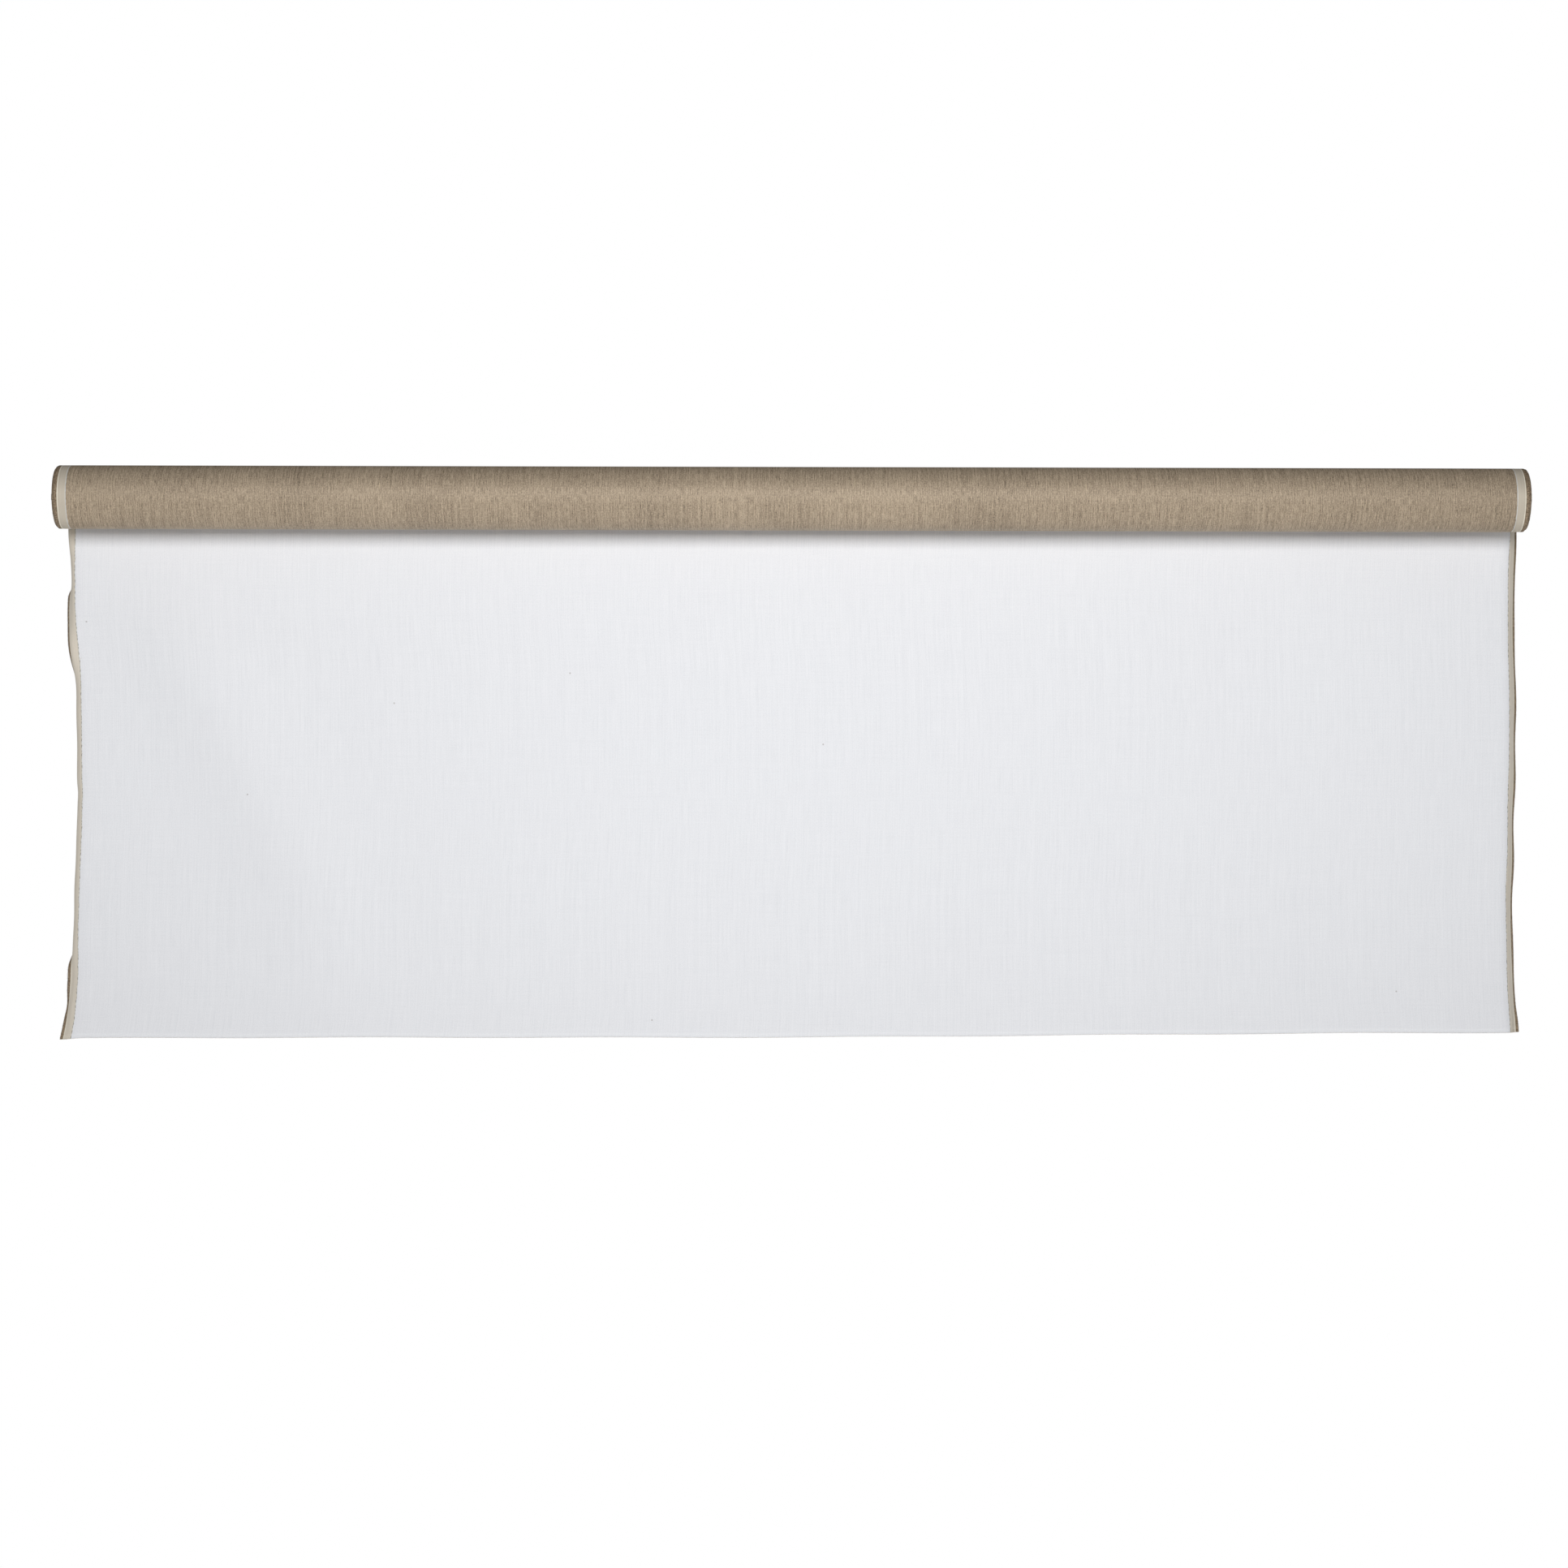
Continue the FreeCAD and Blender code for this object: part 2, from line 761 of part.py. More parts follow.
def hang_line(depth):
    """How far behind the axis the middle of the hanging cloth is, at a depth below the axis."""
    share = depth / size("hang_depth")
    roll_radius = (
        size("tube_radius")
        + size("winding_start_gap")
        + size("winding_turns") * size("winding_pitch")
    )
    start = roll_radius + size("hang_gap") + size("cloth_thickness") / 2
    bow = size("hang_bow") * math.sin(math.pi * share / size("hang_bow_span")) ** 2
    curl = size("hang_curl") * share ** size("hang_curl_power")
    return start + bow - curl


def points_down_sheet(top, bottom, side, steps):
    """Points down one face of the hanging cloth: side is -1 for the room's face and 1 for the back."""
    points = []
    for step in range(steps + 1):
        depth = top + (bottom - top) * step / steps
        away = hang_line(depth) + side * size("cloth_thickness") / 2
        points.append(FreeCAD.Vector(0, away, -depth))
    return points


def smooth_line(points):
    """One smooth curve through the points."""
    curve = Part.BSplineCurve()
    curve.interpolate(points)
    return [curve.toShape()]


def faceted_line(points):
    """Straight lines from point to point."""
    return Part.makePolygon(points).Edges


def make_hanging_cloth(label, top, bottom, steps, line_through):
    """A stretch of the hanging cloth as a thin sheet, as wide as the roll."""
    front = points_down_sheet(top, bottom, -1, steps)
    back = points_down_sheet(top, bottom, 1, steps)
    upper = Part.makeLine(front[0], back[0])
    lower = Part.makeLine(front[-1], back[-1])
    edges = line_through(front) + [lower] + line_through(back) + [upper]
    outline = Part.Wire(Part.__sortEdges__(edges))
    sheet_solid = Part.Face(outline).extrude(FreeCAD.Vector(size("cloth_width"), 0, 0))
    cloth = document.addObject("Part::Feature", label)
    cloth.Label = label
    cloth.Shape = sheet_solid
    cloth.Placement = FreeCAD.Placement(
        FreeCAD.Vector(-size("cloth_overhang"), 0, 0), FreeCAD.Rotation()
    )


def make_drop_and_tail():
    """The hanging cloth, and the last strip of it at the raw bottom edge, which a hand pulls."""
    bottom = size("hang_depth")
    seam = bottom - size("tail_depth")
    make_hanging_cloth("cloth_drop", 0.0, seam, int(size("drop_curve_steps")), smooth_line)
    make_hanging_cloth("cloth_tail", seam, bottom, int(size("tail_facets")), faceted_line)


NODES = [
    "spear",
    "ratchet",
    "spring_rod",
    "spear_rivet",
    "spring_collar",
    "collar_screw",
    "retaining_clip",
    "torsion_spring",
    "core_tube",
    "plug_nails",
    "end_cap",
    "spear_bush",
    "upper_pawl",
    "lower_pawl",
    "pawl_pins",
    "tail_plug",
    "rod_bush",
    "idle_plug",
    "idle_ferrule",
    "idle_pin",
    "fixing_tape",
    "cloth_roll",
    "cloth_drop",
    "cloth_tail",
]


def check_document():
    """Stop if any object failed or any sub-part has no sound shape."""
    document.recompute()
    for thing in document.Objects:
        if {"Invalid", "Error"} & set(thing.State):
            raise RuntimeError(f"{thing.Name} is {thing.State}")
    for label in NODES:
        shape = document.getObjectsByLabel(label)[0].Shape
        if shape.isNull() or not shape.isValid() or not shape.Solids:
            raise RuntimeError(f"{label} has no sound shape")


def export_parts():
    os.makedirs("parts", exist_ok=True)
    for label in NODES:
        document.getObjectsByLabel(label)[0].Shape.exportStep(f"parts/{label}.step")


fill_sheet()
make_spear()
make_ratchet()
make_spring_rod()
make_spear_rivet()
make_spring_collar()
make_collar_screw()
make_retaining_clip()
make_torsion_spring()
make_core_tube()
make_plug_nails()
make_end_cap()
make_spear_bush()
make_pawl("upper_pawl", 0)
make_pawl("lower_pawl", 180)
make_pawl_pins()
make_tail_plug()
make_rod_bush()
make_idle_plug()
make_idle_ferrule()
make_idle_pin()
make_fixing_tape()
make_cloth_roll()
make_drop_and_tail()
check_document()
export_parts()
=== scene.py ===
import json
import math
import random

import bmesh
import bpy
from mathutils import Matrix, Vector, noise


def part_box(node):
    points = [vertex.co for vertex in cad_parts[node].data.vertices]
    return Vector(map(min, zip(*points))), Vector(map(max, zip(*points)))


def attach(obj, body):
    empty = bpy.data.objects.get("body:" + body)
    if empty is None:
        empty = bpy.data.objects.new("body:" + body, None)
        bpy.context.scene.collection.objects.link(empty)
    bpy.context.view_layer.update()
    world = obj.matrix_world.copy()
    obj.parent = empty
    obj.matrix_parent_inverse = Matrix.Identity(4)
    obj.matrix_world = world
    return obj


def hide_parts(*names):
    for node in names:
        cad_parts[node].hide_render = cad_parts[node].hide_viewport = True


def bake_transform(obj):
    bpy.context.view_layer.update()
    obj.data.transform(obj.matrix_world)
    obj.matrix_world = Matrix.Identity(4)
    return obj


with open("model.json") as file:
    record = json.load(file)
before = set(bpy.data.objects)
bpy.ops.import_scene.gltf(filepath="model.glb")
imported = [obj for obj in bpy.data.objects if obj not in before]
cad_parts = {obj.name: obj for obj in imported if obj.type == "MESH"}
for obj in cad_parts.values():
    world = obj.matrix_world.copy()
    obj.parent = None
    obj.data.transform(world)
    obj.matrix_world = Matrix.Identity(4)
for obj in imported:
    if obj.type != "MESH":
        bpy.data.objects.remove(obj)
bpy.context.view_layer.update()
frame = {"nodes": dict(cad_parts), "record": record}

# ---------------------------------------------------------------------------------------------
# Sizes, in metres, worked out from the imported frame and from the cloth's own build
# ---------------------------------------------------------------------------------------------

roll_low, roll_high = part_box("cloth_roll")
tail_low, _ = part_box("cloth_tail")
_, tube_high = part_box("core_tube")

ROLL_RADIUS = roll_high.z
ROLL_LEFT = roll_low.x
ROLL_RIGHT = roll_high.x
ROLL_MIDDLE = (ROLL_LEFT + ROLL_RIGHT) / 2
ROLL_WIDTH = ROLL_RIGHT - ROLL_LEFT
TUBE_RADIUS = tube_high.z
HANG_DEPTH = -tail_low.z

# The wound cloth
WOUND_TURNS = 13
TUBE_GAP = 0.0002
WOUND_INNER = TUBE_RADIUS + TUBE_GAP
WOUND_THICKNESS = 0.00046
WOUND_STEPS = 60
END_THINNING = 0.0002
END_THINNING_REACH = 0.030
TUCK_DEPTH = 0.0006
TUCK_TURNS = 0.08
WOUND_COLUMN_STEP = 0.0011
WOUND_FINE_REACH = 0.0143
WOUND_COARSE_COLUMNS = 20
LUMP_HEIGHT = 0.00012
LEAST_INSET = 0.0002
MOST_INSET = 0.0030
LEFT_SHOWN_INSET = 0.0028
RIGHT_SHOWN_INSET = 0.0030

# The hanging cloth
CLOTH_THICKNESS = 0.0005
HANG_GAP = 0.0003
HANG_BOW = 0.014
HANG_BOW_SPAN = 1.3
HANG_CURL = 0.028
HANG_CURL_POWER = 6
HANG_ROWS = 110
WRAP_ROWS = 10
WRAP_ANGLE = math.radians(48)
WRAP_GAP = 0.00004
LIP_REACH = 0.012
LIP_TURN = 0.0008
FOLD_DEPTH = 0.0085
BOTTOM_SLANT = 0.0078

# The hanging cloth's two sides: where the white starts and ends, in metres from the left end
# of the roll, and how far the selvedges have turned back, in degrees
LEFT_PRIMER_START = 0.0028
RIGHT_PRIMER_START = 1.1876
RIGHT_BAND_TURN = 56
LEFT_STRIP_TURN = 96
RIGHT_STRIP_TURN = 42
LEFT_CURL_POWER = 3.2
RIGHT_CURL_POWER = 2.0

# Zones across the cloth, measured in from each selvedge
STRIP_WIDTH = 0.0028
CREAM_LINE = 0.0007
BAND_WIDTH = 0.0060
BARE_WIDTH = STRIP_WIDTH + CREAM_LINE + BAND_WIDTH
BAND_MIDDLE = (STRIP_WIDTH + BARE_WIDTH) / 2
CURL_REACH = 0.020
CURL_STEP = 0.0010
COLUMN_STEP = 0.0008
COARSE_COLUMNS = 120

# Loose threads
THREAD_PITCH = 0.0007
THREAD_CORNERS = 3
WEFT_END_RADIUS = 0.00013
WARP_END_RADIUS = 0.00011
WOUND_END_RADIUS = 0.00012
HAIR_RADIUS = 0.00008
HAIR_DEPTHS = (0.048, 0.131, 0.187, 0.243, 0.247, 0.296, 0.351, 0.402)
HAIR_POINTS = 6
ENDS_PER_TURN = 170
WARP_END_SPACING = 1.6 * THREAD_PITCH


def smooth(low, high, value):
    """0 below low, 1 above high, and a smooth rise between."""
    share = min(1.0, max(0.0, (value - low) / (high - low)))
    return share * share * (3 - 2 * share)


def bump(centre, width, value):
    """A bell of height 1 round centre."""
    return math.exp(-(((value - centre) / width) ** 2))


# ---------------------------------------------------------------------------------------------
# Materials
# ---------------------------------------------------------------------------------------------


class Nodes:
    """A short way to build a material's node tree."""

    def __init__(self, name):
        self.material = bpy.data.materials.new(name)
        self.material.use_nodes = True
        self.tree = self.material.node_tree
        self.shader = self.tree.nodes["Principled BSDF"]

    def add(self, kind, **settings):
        node = self.tree.nodes.new(kind)
        for name, value in settings.items():
            setattr(node, name, value)
        return node

    def link(self, source, target):
        self.tree.links.new(source, target)
        return target

    def feed(self, socket, value):
        """Give a socket another node's output, or a plain value set on the socket itself."""
        if isinstance(value, bpy.types.NodeSocket):
            self.tree.links.new(value, socket)
        else:
            socket.default_value = value

    def maths(self, operation, first, second=0.0):
        node = self.add("ShaderNodeMath", operation=operation)
        self.feed(node.inputs[0], first)
        self.feed(node.inputs[1], second)
        return node.outputs[0]

    def mix(self, share, first, second):
        """The first colour where share is 0, the second where it is 1."""
        node = self.add("ShaderNodeMix", data_type="RGBA")
        self.feed(node.inputs["Factor"], share)
        self.feed(node.inputs[6], first)
        self.feed(node.inputs[7], second)
        return node.outputs[2]

    def ramp(self, value, low, high, first=0.0, second=1.0):
        """A smooth step from first to second as value goes from low to high."""
        node = self.add("ShaderNodeMapRange", interpolation_type="SMOOTHSTEP")
        self.feed(node.inputs["Value"], value)
        node.inputs["From Min"].default_value = low
        node.inputs["From Max"].default_value = high
        self.feed(node.inputs["To Min"], first)
        self.feed(node.inputs["To Max"], second)
        return node.outputs["Result"]

    def place(self, source, scale):
        """Coordinates stretched by scale."""
        node = self.add("ShaderNodeMapping")
        self.link(source, node.inputs["Vector"])
        node.inputs["Scale"].default_value = scale
        return node.outputs["Vector"]

    def noise(self, source, scale, detail=2.0, roughness=0.5, seed=0.0):
        """Noise over a place stretched by scale, so that it can run in long or short streaks."""
        node = self.add("ShaderNodeTexNoise", noise_dimensions="4D")
        self.link(self.place(source, scale), node.inputs["Vector"])
        node.inputs["Scale"].default_value = 1.0
        node.inputs["Detail"].default_value = detail
        node.inputs["Roughness"].default_value = roughness
        node.inputs["W"].default_value = seed
        return node.outputs["Fac"]

    def bump(self, height, strength, distance):
        """Relief on the surface, from a height of 0 to 1 and the real height of 1 in metres."""
        node = self.add("ShaderNodeBump")
        self.feed(node.inputs["Height"], height)
        node.inputs["Strength"].default_value = strength
        node.inputs["Distance"].default_value = distance
        self.link(node.outputs["Normal"], self.shader.inputs["Normal"])

    def weighted(self, *shares):
        """The sum of several values, each times its own share."""
        level = None
        for value, share in shares:
            part = self.maths("MULTIPLY", value, share)
            level = part if level is None else self.maths("ADD", level, part)
        return level

    def tint(self, colour, mask, strength, other):
        """The colour with some of another where the mask is, up to a strength."""
        return self.mix(self.maths("MULTIPLY", mask, strength), colour, other)

    def surface(self, colour, roughness, metallic=0.0):
        """What the shader shows: each of the first two may vary from place to place."""
        self.feed(self.shader.inputs["Base Color"], colour)
        self.feed(self.shader.inputs["Roughness"], roughness)
        self.shader.inputs["Metallic"].default_value = metallic


def colour_of(red, green, blue):
    """A colour given as it looks on screen, from 0 to 255, as linear values."""

    def linear(level):
        share = level / 255
        return share / 12.92 if share <= 0.04045 else ((share + 0.055) / 1.055) ** 2.4

    return (linear(red), linear(green), linear(blue), 1.0)


def cloth_place(nodes):
    """The cloth's own coordinates: metres across from the left selvedge, and metres along."""
    return nodes.add("ShaderNodeUVMap", uv_map="cloth").outputs["UV"]


def from_selvedge(nodes, across):
    """The distance from the nearer selvedge, in metres, from the place across the cloth."""
    return nodes.maths("MINIMUM", across, nodes.maths("SUBTRACT", ROLL_WIDTH, across))


def split(nodes, vector):
    """The three numbers of a place."""
    node = nodes.add("ShaderNodeSeparateXYZ")
    nodes.link(vector, node.inputs[0])
    return node.outputs


def weave_height(nodes, place):
    """Plain weave: warp and weft threads that pass over and under each other."""
    across, along, _ = split(nodes, place)
    per_metre = math.pi / THREAD_PITCH
    warp = nodes.maths("SINE", nodes.maths("MULTIPLY", across, per_metre))
    weft = nodes.maths("SINE", nodes.maths("MULTIPLY", along, per_metre))
    over = nodes.maths("MULTIPLY", warp, weft)
    return nodes.maths("ABSOLUTE", over)


def selvedge_band(nodes, place, edge, colour, dull, pale):
    """The field's colour with the bare band, dull to pale, the cream line and the brown strip."""
    lines = nodes.noise(place, (2600, 9, 1), detail=3, seed=7.1)
    cloud = nodes.noise(place, (60, 30, 1), detail=3, seed=2.7)
    band = nodes.mix(lines, dull, pale)
    band = nodes.tint(band, cloud, 0.35, colour_of(196, 184, 165))
    colour = nodes.mix(nodes.ramp(edge, BARE_WIDTH, BARE_WIDTH - 0.0003), colour, band)
    cream = nodes.ramp(edge, STRIP_WIDTH + CREAM_LINE, STRIP_WIDTH + CREAM_LINE - 0.0002)
    colour = nodes.mix(cream, colour, colour_of(238, 231, 214))
    hatch = nodes.noise(place, (900, 1900, 1), detail=3, roughness=0.7, seed=4.4)
    strip = nodes.mix(nodes.ramp(hatch, 0.35, 0.65), colour_of(92, 76, 60), colour_of(178, 158, 132))
    return nodes.mix(nodes.ramp(edge, STRIP_WIDTH, STRIP_WIDTH - 0.0002), colour, strip)


def linen_material():
    """The bare back of the cloth: brown-grey flax, with slubs and streaks along the warp."""
    nodes = Nodes("linen_back")
    place = cloth_place(nodes)
    across, _, _ = split(nodes, place)
    edge = from_selvedge(nodes, across)
    grain = nodes.noise(place, (1300, 700, 1), detail=3, roughness=0.8, seed=5.0)
    dashes = nodes.noise(place, (1700, 150, 1), detail=2, roughness=0.6, seed=3.0)
    fine = nodes.noise(place, (1900, 22, 1), detail=2, roughness=0.65, seed=1.0)
    weft = nodes.noise(place, (70, 1200, 1), detail=2, seed=6.0)
    cloud = nodes.noise(place, (14, 6, 1), detail=1, roughness=0.5, seed=8.0)
    level = nodes.weighted((grain, 0.40), (dashes, 0.27), (fine, 0.27), (weft, 0.04), (cloud, 0.05))
    dark, light = colour_of(94, 81, 66), colour_of(202, 183, 158)
    colour = nodes.mix(nodes.ramp(level, 0.37, 0.63), dark, light)
    slub = nodes.noise(place, (900, 55, 1), detail=1, seed=11.0)
    colour = nodes.tint(colour, nodes.ramp(slub, 0.70, 0.78), 0.55, colour_of(226, 208, 172))
    pit = nodes.noise(place, (700, 110, 1), detail=1, seed=15.0)
    colour = nodes.tint(colour, nodes.ramp(pit, 0.72, 0.80), 0.5, colour_of(88, 70, 52))
    wander = nodes.noise(place, (1, 260, 1), detail=4, roughness=0.7, seed=9.0)
    primer_line = nodes.maths("ADD", edge, nodes.maths("MULTIPLY", wander, 0.0016))
    bleed = nodes.ramp(primer_line, BARE_WIDTH + 0.0014, BARE_WIDTH + 0.0011)
    colour = nodes.tint(colour, bleed, 0.85, colour_of(222, 224, 224))
    dull, pale = colour_of(180, 169, 152), colour_of(228, 220, 205)
    colour = selvedge_band(nodes, place, edge, colour, dull, pale)
    nodes.surface(colour, nodes.ramp(grain, 0.3, 0.7, 0.52, 0.62), metallic=0.15)
    height = nodes.maths("ADD", nodes.maths("MULTIPLY", grain, 0.5), weave_height(nodes, place))
    height = nodes.maths("ADD", height, nodes.maths("MULTIPLY", fine, 0.6))
    nodes.bump(height, 0.35, 0.00012)
    nodes.shader.inputs["Specular IOR Level"].default_value = 0.3
    return nodes.material


def primed_material():
    """The coated face: cool white primer, with the weave just telling and a ragged edge."""
    nodes = Nodes("primed_face")
    place = cloth_place(nodes)
    across, _, _ = split(nodes, place)
    edge = from_selvedge(nodes, across)
    streaks = nodes.noise(place, (700, 5, 1), detail=3, roughness=0.6, seed=21.0)
    thread = nodes.noise(place, (1500, 40, 1), detail=2, seed=22.0)
    weft = nodes.noise(place, (20, 1300, 1), detail=2, seed=23.0)
    warm_cloud = nodes.noise(place, (9, 12, 1), detail=3, seed=24.0)
    grain = nodes.noise(place, (1000, 900, 1), detail=4, roughness=0.8, seed=25.0)
    level = nodes.weighted((streaks, 0.20), (thread, 0.26), (grain, 0.54), (weft, 0.10))
    white = nodes.mix(nodes.ramp(level, 0.3, 0.7), colour_of(227, 229, 233), colour_of(246, 247, 250))
    white = nodes.tint(white, warm_cloud, 0.10, colour_of(232, 226, 232))
    speck = nodes.noise(place, (240, 240, 1), detail=0, seed=27.0)
    white = nodes.tint(white, nodes.ramp(speck, 0.86, 0.89), 0.45, colour_of(150, 140, 132))
    wander = nodes.noise(place, (1, 150, 1), detail=5, roughness=0.75, seed=31.0)
    stray = nodes.maths("MULTIPLY", nodes.maths("SUBTRACT", wander, 0.5), 0.0026)
    ragged = nodes.maths("ADD", edge, stray)
    dashes = nodes.noise(place, (1, 420, 1), detail=2, seed=33.0)
    rim_tone = nodes.ramp(dashes, 0.42, 0.62)
    rim = nodes.mix(rim_tone, colour_of(214, 208, 196), colour_of(126, 116, 102))
    rim_zone = nodes.ramp(ragged, BARE_WIDTH + 0.0009, BARE_WIDTH + 0.0005)
    colour = nodes.tint(white, rim_zone, 0.9, rim)
    bare = nodes.ramp(ragged, BARE_WIDTH + 0.0003, BARE_WIDTH)
    lines = nodes.noise(place, (2200, 12, 1), detail=2, seed=35.0)
    beige = nodes.mix(lines, colour_of(204, 194, 177), colour_of(234, 226, 212))
    colour = nodes.mix(bare, colour, beige)
    dull, pale = colour_of(206, 196, 180), colour_of(248, 241, 228)
    colour = selvedge_band(nodes, place, edge, colour, dull, pale)
    nodes.surface(colour, nodes.ramp(thread, 0.2, 0.8, 0.62, 0.78))
    height = nodes.maths("ADD", nodes.maths("MULTIPLY", weave_height(nodes, place), 0.8), thread)
    height = nodes.maths("ADD", height, nodes.maths("MULTIPLY", streaks, 0.5))
    nodes.bump(height, 0.25, 0.00012)
    nodes.shader.inputs["Specular IOR Level"].default_value = 0.25
    return nodes.material


def cut_edge_material():
    """The cloth's thickness at a cut: flax ends with primer on one side."""
    nodes = Nodes("cloth_cut_edge")
    place = nodes.add("ShaderNodeTexCoord").outputs["Object"]
    ends = nodes.noise(place, (1600, 1600, 1600), detail=3, roughness=0.7, seed=41.0)
    dark, light = colour_of(150, 132, 108), colour_of(224, 218, 206)
    colour = nodes.mix(nodes.ramp(ends, 0.35, 0.65), dark, light)
    nodes.surface(colour, nodes.ramp(ends, 0.2, 0.8, 0.8, 0.95))
    nodes.bump(ends, 0.5, 0.0002)
    return nodes.material


def thread_material(name, dark, light, seed):
    """Loose flax ends, lighter and darker by the thread."""
    nodes = Nodes(name)
    place = nodes.add("ShaderNodeTexCoord").outputs["Object"]
    tone = nodes.noise(place, (420, 420, 420), detail=3, roughness=0.7, seed=seed)
    colour = nodes.mix(nodes.ramp(tone, 0.3, 0.7), dark, light)
    nodes.surface(colour, nodes.ramp(tone, 0.2, 0.8, 0.75, 0.95))
    nodes.bump(nodes.noise(place, (4000, 4000, 4000), detail=2, seed=seed + 1), 0.4, 0.0001)
    return nodes.material


def around_x(nodes, source):
    """Coordinates round the roller's axis: place along X, distance round in metres, and radius."""
    x, y, z = split(nodes, source)
    turn = nodes.maths("ARCTAN2", z, y)
    flat = nodes.add("ShaderNodeCombineXYZ")
    nodes.feed(flat.inputs[1], y)
    nodes.feed(flat.inputs[2], z)
    length = nodes.add("ShaderNodeVectorMath", operation="LENGTH")
    nodes.link(flat.outputs[0], length.inputs[0])
    made = nodes.add("ShaderNodeCombineXYZ")
    nodes.feed(made.inputs[0], x)
    nodes.feed(made.inputs[1], nodes.maths("MULTIPLY", turn, TUBE_RADIUS))
    nodes.feed(made.inputs[2], length.outputs["Value"])
    return made.outputs[0]


def metal_material(name, dark, light, roughness, scale, seed):
    """Turned or stamped metal: fine tool marks, a little tarnish and brighter rubbed places."""
    nodes = Nodes(name)
    place = nodes.add("ShaderNodeTexCoord").outputs["Object"]
    round_place = around_x(nodes, place)
    stretch = (scale * 6, scale, scale * 6)
    marks = nodes.noise(round_place, stretch, detail=3, roughness=0.6, seed=seed)
    tarnish = nodes.noise(place, (260, 260, 260), detail=4, roughness=0.65, seed=seed + 1)
    level = nodes.weighted((marks, 0.65), (tarnish, 0.35))
    colour = nodes.mix(nodes.ramp(level, 0.24, 0.76), dark, light)
    nodes.surface(
        colour, nodes.ramp(tarnish, 0.3, 0.7, roughness + 0.20, roughness), metallic=1.0
    )
    nodes.bump(marks, 0.25, 0.00008)
    return nodes.material


def paperboard_material():
    """Wound paperboard: slanting plies and pressed fibres."""
    nodes = Nodes("paperboard")
    place = nodes.add("ShaderNodeTexCoord").outputs["Object"]
    round_place = around_x(nodes, place)
    along, turn, _ = split(nodes, round_place)
    slant = nodes.maths("ADD", along, nodes.maths("MULTIPLY", turn, 0.6))
    ply_width = 0.055
    ply = nodes.maths("FRACT", nodes.maths("MULTIPLY", slant, 1 / ply_width))
    seam = nodes.ramp(nodes.maths("ABSOLUTE", nodes.maths("SUBTRACT", ply, 0.5)), 0.012, 0.004)
    fibre = nodes.noise(round_place, (260, 1500, 900), detail=4, roughness=0.7, seed=51.0)
    cloud = nodes.noise(place, (70, 70, 70), detail=3, seed=52.0)
    level = nodes.weighted((fibre, 0.6), (cloud, 0.4))
    colour = nodes.mix(nodes.ramp(level, 0.3, 0.7), colour_of(142, 118, 88), colour_of(196, 172, 138))
    colour = nodes.tint(colour, seam, 0.6, colour_of(98, 78, 56))
    nodes.surface(colour, nodes.ramp(fibre, 0.2, 0.8, 0.78, 0.95))
    nodes.bump(nodes.maths("SUBTRACT", fibre, nodes.maths("MULTIPLY", seam, 0.8)), 0.4, 0.00015)
    return nodes.material


def wood_material():
    """Pale turned hardwood with grain along the roller."""
    nodes = Nodes("turned_wood")
    place = nodes.add("ShaderNodeTexCoord").outputs["Object"]
    grain = nodes.noise(place, (26, 620, 620), detail=5, roughness=0.65, seed=61.0)
    rings = nodes.noise(place, (6, 190, 120), detail=2, seed=62.0)
    pores = nodes.noise(place, (160, 2600, 2600), detail=2, seed=63.0)
    level = nodes.weighted((grain, 0.55), (rings, 0.45))
    colour = nodes.mix(nodes.ramp(level, 0.3, 0.7), colour_of(150, 112, 70), colour_of(214, 182, 134))
    colour = nodes.tint(colour, nodes.ramp(pores, 0.62, 0.72), 0.5, colour_of(104, 74, 44))
    nodes.surface(colour, nodes.ramp(grain, 0.2, 0.8, 0.55, 0.75))
    nodes.bump(nodes.maths("SUBTRACT", grain, nodes.maths("MULTIPLY", pores, 0.5)), 0.35, 0.0001)
    return nodes.material


def nylon_material():
    """Moulded natural nylon: milky and faintly flow-marked, a little rougher along the flow marks."""
    nodes = Nodes("moulded_nylon")
    place = nodes.add("ShaderNodeTexCoord").outputs["Object"]
    flow = nodes.noise(place, (90, 240, 240), detail=4, roughness=0.6, seed=71.0)
    fine = nodes.noise(place, (2400, 2400, 2400), detail=2, seed=72.0)
    colour = nodes.mix(nodes.ramp(flow, 0.3, 0.7), colour_of(214, 208, 190), colour_of(238, 234, 222))
    nodes.surface(colour, nodes.ramp(flow, 0.3, 0.7, 0.42, 0.58))
    nodes.bump(fine, 0.15, 0.00005)
    nodes.shader.inputs["Subsurface Weight"].default_value = 0.08
    nodes.shader.inputs["Subsurface Radius"].default_value = (0.001, 0.001, 0.0008)
    return nodes.material


def tape_material():
    """Cream paper tape with creped ridges across it."""
    nodes = Nodes("creped_tape")
    place = nodes.add("ShaderNodeTexCoord").outputs["Object"]
    crepe = nodes.noise(place, (900, 60, 60), detail=4, roughness=0.7, seed=81.0)
    dark, light = colour_of(196, 182, 140), colour_of(232, 222, 186)
    colour = nodes.mix(nodes.ramp(crepe, 0.3, 0.7), dark, light)
    nodes.surface(colour, nodes.ramp(crepe, 0.2, 0.8, 0.6, 0.85))
    nodes.bump(crepe, 0.5, 0.0001)
    return nodes.material


